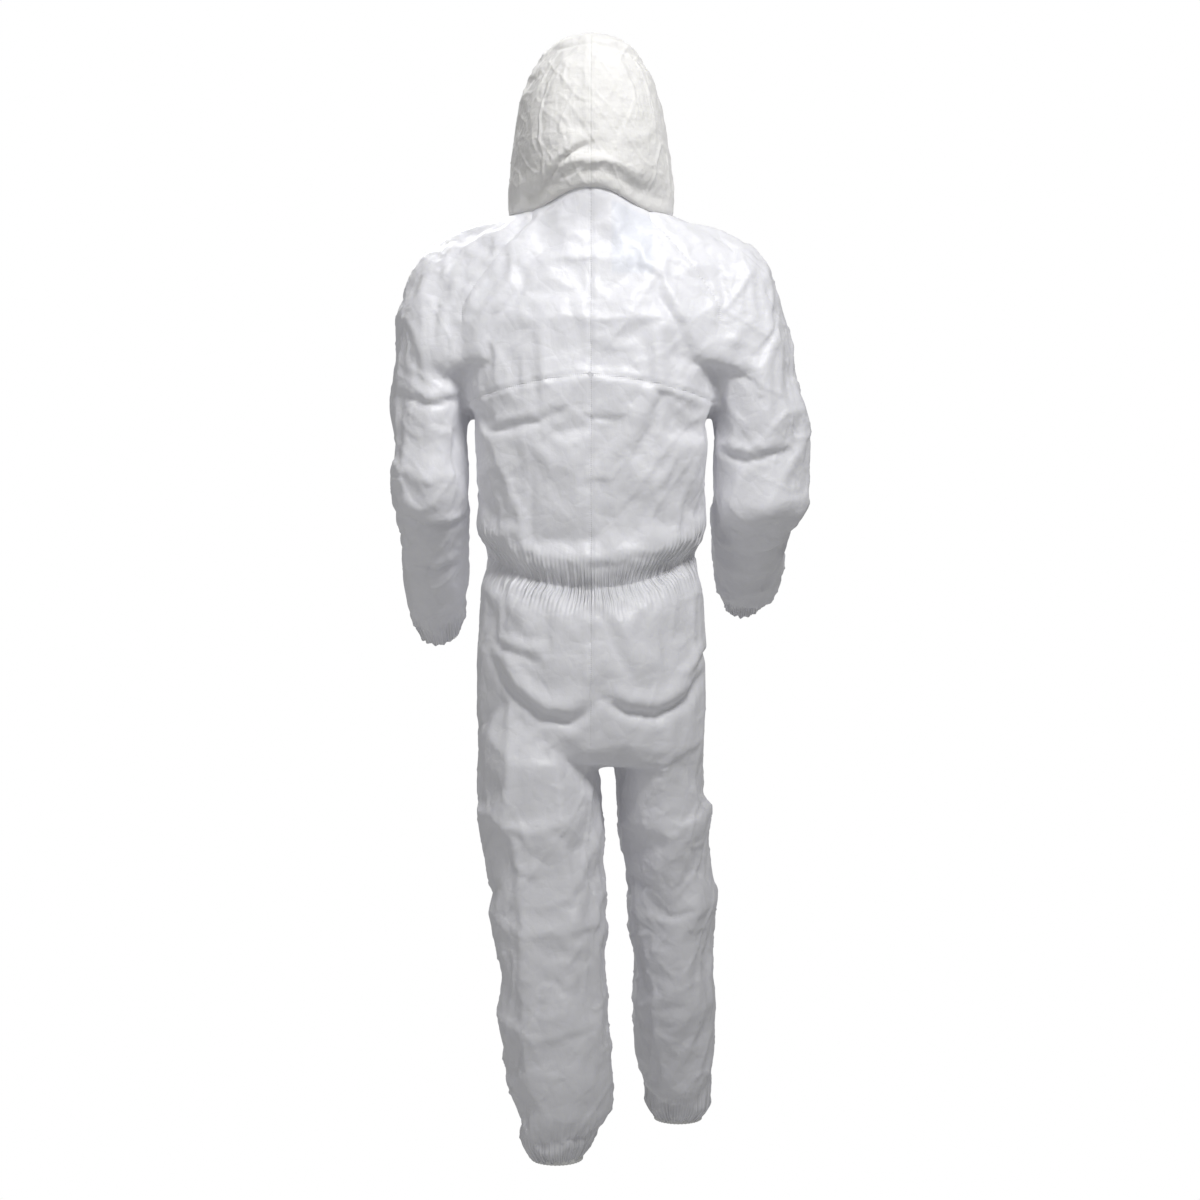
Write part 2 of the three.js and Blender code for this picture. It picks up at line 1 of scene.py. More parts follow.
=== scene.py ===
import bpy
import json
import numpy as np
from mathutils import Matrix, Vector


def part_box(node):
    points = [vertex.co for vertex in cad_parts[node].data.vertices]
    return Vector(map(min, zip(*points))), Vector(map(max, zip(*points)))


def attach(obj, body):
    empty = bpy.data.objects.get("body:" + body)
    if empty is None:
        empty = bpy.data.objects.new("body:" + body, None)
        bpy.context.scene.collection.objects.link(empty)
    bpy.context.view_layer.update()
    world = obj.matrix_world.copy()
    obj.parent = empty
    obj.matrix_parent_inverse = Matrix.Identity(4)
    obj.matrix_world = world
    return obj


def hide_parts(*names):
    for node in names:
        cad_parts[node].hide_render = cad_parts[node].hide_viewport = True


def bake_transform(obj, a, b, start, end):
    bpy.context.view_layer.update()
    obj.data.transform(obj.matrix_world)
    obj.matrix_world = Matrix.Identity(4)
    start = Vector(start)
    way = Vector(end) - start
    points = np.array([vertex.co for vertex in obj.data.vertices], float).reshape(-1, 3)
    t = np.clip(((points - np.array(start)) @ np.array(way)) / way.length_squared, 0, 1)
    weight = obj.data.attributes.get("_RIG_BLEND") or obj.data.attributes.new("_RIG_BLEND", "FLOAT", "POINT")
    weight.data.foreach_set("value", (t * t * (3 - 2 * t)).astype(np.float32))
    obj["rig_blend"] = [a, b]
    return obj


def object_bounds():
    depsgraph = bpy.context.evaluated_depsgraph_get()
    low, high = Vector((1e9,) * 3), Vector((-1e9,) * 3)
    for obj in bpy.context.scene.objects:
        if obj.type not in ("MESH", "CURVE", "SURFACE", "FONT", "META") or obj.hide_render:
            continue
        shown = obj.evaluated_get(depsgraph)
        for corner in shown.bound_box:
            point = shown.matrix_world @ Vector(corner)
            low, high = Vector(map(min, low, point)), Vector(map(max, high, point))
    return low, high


bl_info = {
    "name": "Protective coverall",
    "version": (1, 0, 0),
    "blender": (4, 5, 0),
    "location": "View3D > Sidebar > Coverall",
    "description": "Sews a hooded protective coverall round its solid model and sets a studio",
    "category": "Object",
}

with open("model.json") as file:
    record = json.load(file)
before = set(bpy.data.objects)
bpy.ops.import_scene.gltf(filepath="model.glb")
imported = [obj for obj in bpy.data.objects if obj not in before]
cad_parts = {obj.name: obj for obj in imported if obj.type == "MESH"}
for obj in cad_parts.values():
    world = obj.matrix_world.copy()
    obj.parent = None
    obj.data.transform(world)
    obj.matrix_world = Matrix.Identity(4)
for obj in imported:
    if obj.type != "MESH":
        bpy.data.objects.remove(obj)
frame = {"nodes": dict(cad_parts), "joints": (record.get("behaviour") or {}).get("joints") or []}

import json
import math

import bmesh
import bpy
import numpy as np
from mathutils import Vector

CAD_BOX = [list(corner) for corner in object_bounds()]
SIDES = {"left": 1, "right": -1}
MM = 0.001
JOINTS = {joint["name"]: joint for joint in frame["joints"]}


# ------------------------------------------------------------------ settings
class CoverallShape(bpy.types.PropertyGroup):
    """Sizes of the sewn cloth and of its folds."""

    cell: bpy.props.FloatProperty(
        name="Cloth cell", description="Spacing of the cloth's points while it drapes",
        default=0.0085, min=0.004, max=0.02, unit="LENGTH")
    fullness: bpy.props.FloatProperty(
        name="Fullness", description="Share by which the cloth is wider than the shape it hangs in",
        default=0.022, min=0, max=0.2, subtype="FACTOR")
    drape_steps: bpy.props.IntProperty(
        name="Drape steps", description="Steps that the cloth is left to settle", default=20, min=1, max=120)
    gather: bpy.props.FloatProperty(
        name="Gather", description="Depth of the small pleats beside an elastic",
        default=0.0026, min=0, max=0.01, unit="LENGTH")
    crinkle: bpy.props.FloatProperty(
        name="Hood crinkle", description="Depth of the hood's fine crumpling",
        default=0.0016, min=0, max=0.01, unit="LENGTH")


class CoverallColours(bpy.types.PropertyGroup):
    """Colours of the cloths and trims, as sRGB hex."""

    laminate: bpy.props.StringProperty(
        name="Laminate", description="Cool white of the film laminate", default="ebebef")
    hood: bpy.props.StringProperty(
        name="Hood cloth", description="Warmer off-white of the hood's nonwoven", default="e9e8e6")
    thread: bpy.props.StringProperty(
        name="Thread", description="White overlock thread", default="f2f2f0")
    zip: bpy.props.StringProperty(
        name="Zip", description="White nylon of the chain and slider", default="f0f0ee")
    label: bpy.props.StringProperty(
        name="Label", description="Pale blue satin of the blank size tag", default="bccbe2")
    release: bpy.props.StringProperty(
        name="Release film", description="Film over the flap's adhesive", default="dce2dc")


# ------------------------------------------------------------------ measuring the solid model
def mesh_arrays(node):
    """Points and edges of a CAD node, in metres."""
    mesh = frame["nodes"][node].data
    points = np.empty(len(mesh.vertices) * 3)
    mesh.vertices.foreach_get("co", points)
    edges = np.empty(len(mesh.edges) * 2, int)
    mesh.edges.foreach_get("vertices", edges)
    return points.reshape(-1, 3), edges.reshape(-1, 2)


def outline(nodes, point, normal, across, sides=72, above=-1.0):
    """The outer outline of some nodes where a plane cuts them, at even turns about its middle.
    What lies under above, measured along across from point, is left out."""
    point, normal, across = (np.asarray(v, float) for v in (point, normal, across))
    normal = normal / np.linalg.norm(normal)
    across = across / np.linalg.norm(across)
    up = np.cross(normal, across)
    cuts = []
    for node in nodes:
        points, edges = mesh_arrays(node)
        height = (points - point) @ normal
        a, b = edges[:, 0], edges[:, 1]
        crossing = height[a] * height[b] < 0
        share = height[a][crossing] / (height[a][crossing] - height[b][crossing])
        cuts.append(points[a][crossing] + share[:, None] * (points[b][crossing] - points[a][crossing]))
    flat = np.concatenate(cuts) - point
    flat = flat[flat @ across > above]
    u, v = flat @ across, flat @ up
    middle = np.array([(u.min() + u.max()) / 2, (v.min() + v.max()) / 2])
    turn = np.arctan2(v - middle[1], u - middle[0]) % math.tau
    radius = np.hypot(u - middle[0], v - middle[1])
    order = np.argsort(turn)
    turn, radius = turn[order], radius[order]
    keep = np.array([r >= 0.985 * radius[near(turn, t, 0.2)].max() or r >= radius[near(turn, t, 0.12)].max()
                     for t, r in zip(turn, radius)])
    even = np.arange(sides) / sides * math.tau
    spread = np.interp(even, turn[keep], radius[keep], period=math.tau)
    ring = np.outer(middle[0] + spread * np.cos(even), across)
    ring += np.outer(middle[1] + spread * np.sin(even), up)
    return ring + point


def near(turns, turn, reach):
    return np.abs((turns - turn + math.pi) % math.tau - math.pi) < reach


def smooth_step(value, low, high):
    share = np.clip((value - low) / (high - low), 0, 1)
    return share * share * (3 - 2 * share)


def bump(value, middle, width):
    """1 at middle, falling to nothing about two widths away."""
    return np.exp(-(((value - middle) / width) ** 2))


# ------------------------------------------------------------------ meshes
def new_mesh(name, points, faces):
    mesh = bpy.data.meshes.new(name)
    mesh.from_pydata([tuple(p) for p in points], [], [tuple(f) for f in faces])
    mesh.update()
    thing = bpy.data.objects.new(name, mesh)
    bpy.context.scene.collection.objects.link(thing)
    return thing


def tube(rings, capped=False):
    """Points and faces of a tube through rings of equal length, wound so that its faces look out."""
    count, sides = len(rings), len(rings[0])
    points = list(np.concatenate(rings))
    faces = []
    for level in range(count - 1):
        for i in range(sides):
            j = (i + 1) % sides
            low, high = level * sides, (level + 1) * sides
            faces.append((low + i, low + j, high + j, high + i))
    if capped:
        faces.append(tuple(reversed(range(sides))))
        faces.append(tuple((count - 1) * sides + i for i in range(sides)))
    return points, faces


def joined(name, parts):
    points, faces = [], []
    for some_points, some_faces in parts:
        base = len(points)
        points += list(some_points)
        faces += [tuple(base + i for i in face) for face in some_faces]
    return new_mesh(name, points, faces)


def get_points(thing):
    points = np.empty(len(thing.data.vertices) * 3)
    thing.data.vertices.foreach_get("co", points)
    return points.reshape(-1, 3)


def set_points(thing, points):
    thing.data.vertices.foreach_set("co", np.asarray(points, np.float32).ravel())
    thing.data.update()


def get_normals(thing):
    normals = np.empty(len(thing.data.vertices) * 3)
    thing.data.vertices.foreach_get("normal", normals)
    return normals.reshape(-1, 3)


def pushed(thing, points, amount):
    """The points, each moved out along the thing's normals."""
    return points + get_normals(thing) * amount[:, None]


def faced_outward(thing):
    edit = bmesh.new()
    edit.from_mesh(thing.data)
    bmesh.ops.recalc_face_normals(edit, faces=edit.faces)
    edit.to_mesh(thing.data)
    edit.free()
    return thing


def applied(thing):
    """Replaces the mesh by what its modifiers make of it."""
    graph = bpy.context.evaluated_depsgraph_get()
    mesh = bpy.data.meshes.new_from_object(thing.evaluated_get(graph))
    thing.modifiers.clear()
    thing.data = mesh
    return thing


def remeshed(thing, cell):
    remesh = thing.modifiers.new("skin", "REMESH")
    remesh.mode = "VOXEL"
    remesh.voxel_size = cell
    remesh.use_smooth_shade = True
    return applied(thing)


def relaxed(thing, passes, factor=0.5):
    smooth = thing.modifiers.new("relax", "SMOOTH")
    smooth.factor = factor
    smooth.iterations = passes
    return applied(thing)


def subdivided(thing, levels=1):
    subsurf = thing.modifiers.new("fine", "SUBSURF")
    subsurf.levels = levels
    subsurf.render_levels = levels
    return applied(thing)


def without(thing, drop):
    """Deletes the faces whose middles drop(points) picks."""
    edit = bmesh.new()
    edit.from_mesh(thing.data)
    edit.faces.ensure_lookup_table()
    middles = np.array([face.calc_center_median() for face in edit.faces])
    doomed = [edit.faces[i] for i in np.flatnonzero(drop(middles))]
    bmesh.ops.delete(edit, geom=doomed, context="FACES")
    edit.to_mesh(thing.data)
    edit.free()
    thing.data.update()
    return thing


def noise3(points, size, seed):
    """Smooth random field of about -1 to 1, with bumps about size across, the same each run."""
    cell = points / size + seed * 17.3
    base = np.floor(cell).astype(int)
    part = cell - base
    part = part * part * (3 - 2 * part)
    total = np.zeros(len(points))
    for dx in (0, 1):
        for dy in (0, 1):
            for dz in (0, 1):
                x, y, z = base[:, 0] + dx, base[:, 1] + dy, base[:, 2] + dz
                mixed = (x * 73856093 ^ y * 19349663 ^ z * 83492791 ^ seed * 2654435) & 0xFFFFFF
                mixed = (mixed * 1103515245 + 12345) & 0x7FFFFFFF
                value = mixed / 0x3FFFFFFF - 1
                weight = (part[:, 0] if dx else 1 - part[:, 0]) * (part[:, 1] if dy else 1 - part[:, 1])
                total += value * weight * (part[:, 2] if dz else 1 - part[:, 2])
    return total


# ------------------------------------------------------------------ draping
MOVE_CAP = 0.014  # how far a point of the cloth may settle
START_RIPPLE = 0.0008  # unevenness that the folds grow from
CLOTH_BENDING = 1.0  # film laminate is papery, so it folds broadly


def draped(thing, pins, steps, fullness, seed=7):
    """Lets cloth cut fuller than its shape buckle and settle, held near its shape by pins from 0 to 1."""
    shape = get_points(thing)
    set_points(thing, pushed(thing, shape, START_RIPPLE * noise3(shape / (1, 1, 5), 0.03, seed)))
    group = thing.vertex_groups.new(name="pins")
    for level in range(1, 41):
        members = np.flatnonzero(np.abs(pins - level / 40) <= 0.0125).tolist()
        if members:
            group.add(members, level / 40, "REPLACE")
    cloth = thing.modifiers.new("drape", "CLOTH")
    settings = cloth.settings
    settings.quality = 4
    settings.mass = 0.02
    settings.tension_stiffness = 40
    settings.compression_stiffness = 40
    settings.shear_stiffness = 20
    settings.bending_stiffness = CLOTH_BENDING
    settings.tension_damping = 2
    settings.compression_damping = 2
    settings.shear_damping = 2
    settings.air_damping = 1
    settings.vertex_group_mass = "pins"
    settings.pin_stiffness = 1
    settings.shrink_min = -fullness
    settings.effector_weights.gravity = 0.5
    cloth.collision_settings.use_collision = False
    scene = bpy.context.scene
    cloth.point_cache.frame_start = 1
    cloth.point_cache.frame_end = steps
    for step in range(1, steps + 1):
        scene.frame_set(step)
    settled = bpy.data.meshes.new_from_object(thing.evaluated_get(bpy.context.evaluated_depsgraph_get()))
    thing.modifiers.clear()
    thing.vertex_groups.clear()
    moved = np.empty(len(settled.vertices) * 3)
    settled.vertices.foreach_get("co", moved)
    bpy.data.meshes.remove(settled)
    scene.frame_set(1)
    moved = moved.reshape(-1, 3) - shape
    length = np.linalg.norm(moved, axis=1, keepdims=True)
    set_points(thing, shape + moved * np.minimum(1, MOVE_CAP / np.maximum(length, 1e-9)))
    return thing


# ------------------------------------------------------------------ places taken from the solid model
BODY_NODES = [f"{part}_{side}_panel" for part in ("front", "yoke", "lower_back", "seat") for side in SIDES]
NAPE = 0.0
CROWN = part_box("hood_left_panel")[1].z
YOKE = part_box("yoke_left_panel")[0].z
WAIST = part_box("seat_left_panel")[1].z
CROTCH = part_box("crotch_gusset")[0].z
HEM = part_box("left_shin")[0].z
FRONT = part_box("front_left_panel")[0].y
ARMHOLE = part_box("left_upper_sleeve")[0].x
KNEE = JOINTS["left_knee"]["pos_m"][2]
ELBOW = JOINTS["left_elbow"]["pos_m"][2]
CUFF_END = {side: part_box(f"{side}_forearm_sleeve")[0].z - 0.008 for side in SIDES}


def forearm_lean(side):
    """How far a forearm leans forward of straight down, from where its cuff is."""
    low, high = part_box(f"{side}_wrist_elastic")
    middle = (low + high) / 2
    return math.atan2(-middle.y, ELBOW - middle.z)


def leg_middle(side, z):
    low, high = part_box(f"{side}_ankle_elastic")
    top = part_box(f"{side}_thigh")
    share = (z - HEM) / (top[1].z - HEM)
    x = low.x + (high.x - low.x) / 2
    y = low.y + (high.y - low.y) / 2
    return x + ((top[0].x + top[1].x) / 2 - x) * share, y * (1 - share * 0.86)


# ------------------------------------------------------------------ the shape that the cloth hangs in
def level_ring(nodes, z):
    return outline(nodes, (0, 0, z), (0, 0, 1), (1, 0, 0))


def scaled_ring(ring, across, deep, lift):
    middle = ring.mean(axis=0)
    return middle + (ring - middle) * (across, deep, 1) + (0, 0, lift)


def torso_rings():
    low = CROTCH + 0.078
    levels = np.linspace(low, NAPE - 0.001, 34)
    rings = [level_ring(BODY_NODES, z) for z in levels]
    for ring, z in zip(rings, levels):
        if z < YOKE - 0.01:
            limit = ARMHOLE - 0.016
            ring[:, 0] = np.clip(ring[:, 0], -limit, limit)
    base = rings[0]
    under = [scaled_ring(base, wide, deep, -drop) for drop, wide, deep in
             ((0.085, 0.78, 0.55), (0.078, 0.90, 0.78), (0.055, 0.965, 0.93), (0.028, 0.99, 0.985))]
    return under + rings


def leg_rings(side):
    nodes = [f"{side}_thigh", f"{side}_shin"]
    levels = np.linspace(HEM + 0.0005, CROTCH - 0.008, 40)
    rings = [level_ring(nodes, z) for z in levels]
    top = rings[-1]
    inward = -top[:, 1].mean()
    above = [top + (0, inward * share, rise) for share, rise in ((0.25, 0.03), (0.5, 0.06), (0.7, 0.09))]
    return rings + above


def sleeve_rings(side):
    sign = SIDES[side]
    nodes = [f"{side}_upper_sleeve", f"{side}_forearm_sleeve"]
    pit = np.array((sign * (ARMHOLE - 0.0004), 0, YOKE - 0.0005))
    rings = []
    for tilt in np.radians(np.linspace(1.5, 88, 14)):
        normal = (sign * math.cos(tilt), 0, -math.sin(tilt))
        across = (sign * math.sin(tilt), 0, math.cos(tilt))
        rings.append(outline(nodes, pit, normal, across, above=-0.001))
    first = rings[0]
    inner = [first + (-sign * inset, 0, 0) for inset in (0.03, 0.015)]
    for z in np.linspace(YOKE - 0.012, ELBOW + 0.064, 6):
        rings.append(outline(nodes, (0, 0, z), (0, 0, -1), (sign, 0, 0)))
    lean = forearm_lean(side)
    end = sleeve_length(side)
    for along in list(np.linspace(-0.055, 0.055, 9)) + list(np.linspace(0.07, end - 0.0005, 18)):
        turn = lean * float(np.clip((along + 0.062) / 0.12, 0, 1))
        down = lean if along > 0 else 0
        point = (0, -along * math.sin(down), ELBOW - along * math.cos(down))
        rings.append(outline(nodes, point, (0, -math.sin(turn), -math.cos(turn)), (sign, 0, 0)))
    for ring in rings:
        low = ring[:, 2] < YOKE - 0.004
        ring[low, 0] = sign * np.maximum(sign * ring[low, 0], ARMHOLE + 0.0055)
    return inner + rings


def sleeve_length(side):
    """Elbow to the end of the cuff."""
    lean = forearm_lean(side)
    points, _ = mesh_arrays(f"{side}_forearm_sleeve")
    along = -points[:, 1] * math.sin(lean) - (points[:, 2] - ELBOW) * math.cos(lean)
    return along.max()


# ------------------------------------------------------------------ one continuous cloth
LEG_PART = -0.025  # x of the plane between the two legs, which stride at different widths
LEG_PART_SHIFT = 0.018  # further down, the gap between the legs lies this much further over
ARM_START = 0.2  # x under the arm from which the cloth begins to follow the arm
SHOULDER_ZONE = 0.046
SHOULDER_SLANT = math.radians(60)
ELBOW_ZONE = 0.045  # half of the height over which the elbow bends
HIP_ZONE = 0.099
KNEE_ZONE = 0.06
SPLIT_MARGIN = 0.006
ARM_INSET = 0.0055  # how far inside ARM_START an arm's cloth may reach
END_TRIM = 0.004  # cut off each open end to leave it clean


def arm_direction(side):
    return np.array((SIDES[side] * math.sin(SHOULDER_SLANT), 0, -math.cos(SHOULDER_SLANT)))


def arm_start(side):
    return np.array((SIDES[side] * ARM_START, 0, YOKE))


def leg_direction(side):
    return np.array((SIDES[side], 0, -1)) / math.sqrt(2)


LEG_START = np.array((LEG_PART, 0, CROTCH - 0.008))


def region(points):
    """Which piece each point belongs to: torso, or side and limb part."""
    names = np.full(len(points), "torso", dtype=object)
    x, z = points[:, 0], points[:, 2]
    for side, sign in SIDES.items():
        along = (points - arm_start(side)) @ arm_direction(side)
        arm = (along > -SPLIT_MARGIN) & (sign * x > ARM_START - ARM_INSET) & (z > CUFF_END[side])
        names[arm] = f"{side}_upper_sleeve"
        names[arm & (z < ELBOW + ELBOW_ZONE + SPLIT_MARGIN)] = f"{side}_forearm_sleeve"
        along = (points - LEG_START) @ leg_direction(side)
        part = LEG_PART - LEG_PART_SHIFT * (1 - smooth_step(z, CROTCH - 0.2, CROTCH - 0.03))
        leg = (along > -SPLIT_MARGIN) & (sign * (x - part) > 0) & ~arm & (z < WAIST)
        names[leg] = f"{side}_thigh"
        names[leg & (z < KNEE + KNEE_ZONE + SPLIT_MARGIN)] = f"{side}_shin"
    return names


def trimmed(thing, point, normal, chosen):
    """Cuts off what lies beyond a plane, among the faces that chosen(points) picks."""
    edit = bmesh.new()
    edit.from_mesh(thing.data)
    edit.faces.ensure_lookup_table()
    middles = np.array([face.calc_center_median() for face in edit.faces])
    faces = [edit.faces[i] for i in np.flatnonzero(chosen(middles))]
    parts = list({*faces, *(e for f in faces for e in f.edges), *(v for f in faces for v in f.verts)})
    bmesh.ops.bisect_plane(edit, geom=parts, dist=1e-5, plane_co=point, plane_no=normal, clear_outer=True)
    edit.to_mesh(thing.data)
    edit.free()
    thing.data.update()
    return thing


def forearm_axis(side):
    lean = forearm_lean(side)
    return np.array((0, -math.sin(lean), -math.cos(lean)))


def shoulder_bridge(side):
    """Fills the valley between the body and the top of a sleeve, which the cloth spans in one sweep."""
    sign = SIDES[side]
    body = np.concatenate([ring for ring in torso_rings() if ring[0, 2] > YOKE + 0.07])
    body = body[(sign * body[:, 0] > 0.11) & (sign * body[:, 0] < ARMHOLE)]
    sleeve = np.concatenate(sleeve_rings(side)[2:11])
    sleeve = sleeve[(sleeve[:, 2] > YOKE + 0.05) & (sign * sleeve[:, 0] < ARMHOLE + 0.075)]
    edit = bmesh.new()
    for point in np.concatenate((body, sleeve)):
        edit.verts.new(point)
    bmesh.ops.convex_hull(edit, input=edit.verts[:], use_existing_faces=False)
    loose = [vert for vert in edit.verts if not vert.link_faces]
    bmesh.ops.delete(edit, geom=loose, context="VERTS")
    bmesh.ops.recalc_face_normals(edit, faces=edit.faces)
    edit.verts.index_update()
    points = [vert.co[:] for vert in edit.verts]
    faces = [tuple(vert.index for vert in face.verts) for face in edit.faces]
    edit.free()
    return points, faces


def cloth_form(cell):
    parts = [tube(torso_rings(), True)]
    parts += [tube(rings(side), True) for rings in (leg_rings, sleeve_rings) for side in SIDES]
    parts += [shoulder_bridge(side) for side in SIDES]
    thing = relaxed(remeshed(joined("coverall_cloth", parts), cell), 8)
    trimmed(thing, (0, 0, NAPE - END_TRIM), (0, 0, 1), lambda p: (p[:, 2] > -0.05) & (abs(p[:, 0]) < 0.15))
    trimmed(thing, (0, 0, HEM + END_TRIM), (0, 0, -1), lambda p: p[:, 2] < HEM + 0.05)
    for side, sign in SIDES.items():
        end = forearm_axis(side) * (sleeve_length(side) - END_TRIM) + (0, 0, ELBOW)
        trimmed(thing, end, forearm_axis(side), lambda p: (sign * p[:, 0] > ARMHOLE)
                & (p[:, 2] < ELBOW - 0.06) & (p[:, 2] > CUFF_END[side] - 0.012))
    return thing


# ------------------------------------------------------------------ where the cloth is sewn and folded
def waist_line(x):
    """Height of the waist elastic, which sags at the middle of the back."""
    return WAIST - 0.024 + 0.05 * (abs(x) / 0.16) ** 2.2


def yoke_line(x):
    return YOKE + 0.034 - 0.036 * (np.minimum(abs(x), 0.2) / 0.2) ** 1.5


def raglan_line(z):
    """Distance from the centre of the seam that runs from the neck to the armhole."""
    share = np.clip((z + 0.175) / 0.145, 0, 1)
    return 0.2 - 0.108 * share ** 1.25


def seam_distance(points):
    """Distance to the nearest sewn line, and the distance run along it."""
    x, y, z = points.T
    names = region(points)
    torso = names == "torso"
    back = y > 0
    far = np.full(len(points), 0.05)
    lines = [
        (torso & back, abs(x), z),
        (torso & back, abs(z - yoke_line(x)), x),
        (torso & back, abs(z - waist_line(x)), x),
        (back & (z > YOKE + 0.12), abs(abs(x) - raglan_line(z)) * 0.8, z),
        (torso & ~back, abs(abs(x) - 0.021), z),
    ]
    for side, sign in SIDES.items():
        sleeve = (names == f"{side}_upper_sleeve") | (names == f"{side}_forearm_sleeve")
        inner = sleeve & (sign * x < ARMHOLE + 0.03)
        lines.append((inner, abs(y + np.maximum(0, ELBOW - z) * math.tan(forearm_lean(side))), z))
        leg = (names == f"{side}_thigh") | (names == f"{side}_shin")
        middle_x, middle_y = leg_middle(side, z)
        lines.append((leg & (sign * (x - middle_x) < 0), abs(y - middle_y), z))
    best = far
    run = np.zeros(len(points))
    for mask, distance, along in lines:
        nearer = mask & (distance < best)
        best = np.where(nearer, distance, best)
        run = np.where(nearer, along, run)
    return best, run


CREST = 0.003  # radius of a pack crease

# Each fold of the back: its path as (x, z) in metres, height in mm, width in mm and how much of a
# groove follows below it. Where that is nothing, the fold is a pack crease with a flat facet on either side.
FOLDS = [
    ([(0.150, -0.700), (0.115, -0.760), (0.067, -0.798), (0.030, -0.802), (-0.010, -0.778)], 9, 16, 1.2),
    ([(-0.024, -0.772), (-0.060, -0.788), (-0.100, -0.791), (-0.145, -0.768), (-0.175, -0.722)], 9, 16, 1.2),
    ([(0.146, -0.690), (0.100, -0.706), (0.066, -0.716)], 5, 11, 1.0),
    ([(-0.134, -0.745), (-0.160, -0.728), (-0.184, -0.700)], 5, 10, 1.0),
    ([(0.152, -0.362), (0.110, -0.350), (0.075, -0.338)], 4, 10, 0.9),
    ([(0.180, -0.330), (0.140, -0.400), (0.110, -0.480), (0.090, -0.560)], 7, 9, 0),
    ([(0.160, -0.400), (0.136, -0.480), (0.126, -0.545)], 5, 8, 0),
    ([(-0.178, -0.330), (-0.150, -0.420), (-0.136, -0.500), (-0.120, -0.570)], 8, 9, 0),
    ([(-0.150, -0.350), (-0.100, -0.450), (-0.078, -0.560)], 5, 9, 0),
    ([(0.070, -0.150), (0.074, -0.280), (0.069, -0.420), (0.072, -0.550)], 3, 6, 0),
    ([(-0.090, -0.200), (-0.096, -0.300), (-0.060, -0.420)], 4, 18, 0.3),
    ([(0.100, -0.120), (0.150, -0.190), (0.180, -0.260)], 5, 18, 0.4),
    ([(-0.100, -0.130), (-0.145, -0.200), (-0.178, -0.270)], 5, 18, 0.4),
    ([(0.120, -0.620), (0.104, -0.680), (0.110, -0.740)], 4, 16, 0.3),
    ([(-0.030, -0.640), (-0.050, -0.700), (-0.085, -0.750)], 4, 18, 0.3),
    ([(0.170, -0.820), (0.110, -0.880), (0.040, -0.905)], 7, 13, 0),
    ([(-0.190, -0.830), (-0.110, -0.872), (-0.050, -0.862)], 7, 13, 0),
    ([(0.172, -0.948), (0.095, -0.984), (0.000, -0.958)], 11, 15, 0),
    ([(0.160, -1.100), (0.100, -1.136), (-0.020, -1.118)], 9, 15, 0),
    ([(0.150, -1.258), (0.080, -1.290), (-0.020, -1.270)], 7, 14, 0),
    ([(0.060, -0.820), (0.052, -1.000), (0.036, -1.180), (0.046, -1.380)], 7, 9, 0),
    ([(0.120, -0.800), (0.118, -0.960), (0.094, -1.140), (0.080, -1.330)], 6, 9, 0),
    ([(-0.210, -0.948), (-0.125, -0.990), (-0.050, -0.962)], 10, 15, 0),
    ([(-0.210, -1.090), (-0.130, -1.140), (-0.050, -1.104)], 9, 15, 0),
    ([(-0.210, -1.256), (-0.140, -1.296), (-0.060, -1.262)], 7, 14, 0),
    ([(-0.110, -0.800), (-0.120, -1.000), (-0.145, -1.160), (-0.150, -1.340)], 8, 9, 0),
    ([(0.205, -0.290), (0.250, -0.312), (0.300, -0.290)], 5, 13, 0.8),
    ([(0.206, -0.425), (0.250, -0.440), (0.316, -0.405)], 10, 9, 0),
    ([(0.206, -0.492), (0.260, -0.500), (0.312, -0.470)], 8, 12, 1.2),
    ([(0.210, -0.560), (0.250, -0.572), (0.300, -0.560)], 6, 11, 1.0),
    ([(0.300, -0.150), (0.262, -0.240), (0.250, -0.390)], 7, 9, 0),
    ([(-0.300, -0.170), (-0.262, -0.270), (-0.270, -0.400)], 7, 9, 0),
    ([(-0.200, -0.470), (-0.260, -0.488), (-0.340, -0.462)], 13, 15, 0),
    ([(-0.206, -0.380), (-0.250, -0.402), (-0.320, -0.380)], 5, 13, 0.8),
    ([(-0.208, -0.530), (-0.260, -0.542), (-0.310, -0.520)], 6, 11, 1.0),
]


def path_distance(x, z, path):
    """Signed distance from a path in the (x, z) plane, above it positive, and the share run along it."""
    best = np.full(len(x), 9.0)
    signed, share = np.zeros(len(x)), np.zeros(len(x))
    legs = list(zip(path[:-1], path[1:]))
    for index, ((ax, az), (bx, bz)) in enumerate(legs):
        dx, dz = bx - ax, bz - az
        length = math.hypot(dx, dz)
        t = np.clip(((x - ax) * dx + (z - az) * dz) / length ** 2, 0, 1)
        gap = np.hypot(x - ax - t * dx, z - az - t * dz)
        cross = ((x - ax) * dz - (z - az) * dx) / length
        upward = -np.sign(dx) if abs(dx) > 0.02 * length else 1.0
        nearer = gap < best
        best = np.where(nearer, gap, best)
        signed = np.where(nearer, gap * np.sign(cross * upward + 1e-9), signed)
        share = np.where(nearer, (index + t) / len(legs), share)
    return signed, share


def fold_profile(signed, wide, groove):
    """A rounded fold with a groove below it, or where there's no groove a crease between two flat facets."""
    if groove:
        return bump(signed, wide * 0.5, wide) - groove * bump(signed, -wide * 0.6, wide * 0.55)
    return np.exp((CREST - np.hypot(signed, CREST)) / (wide * 3.0))


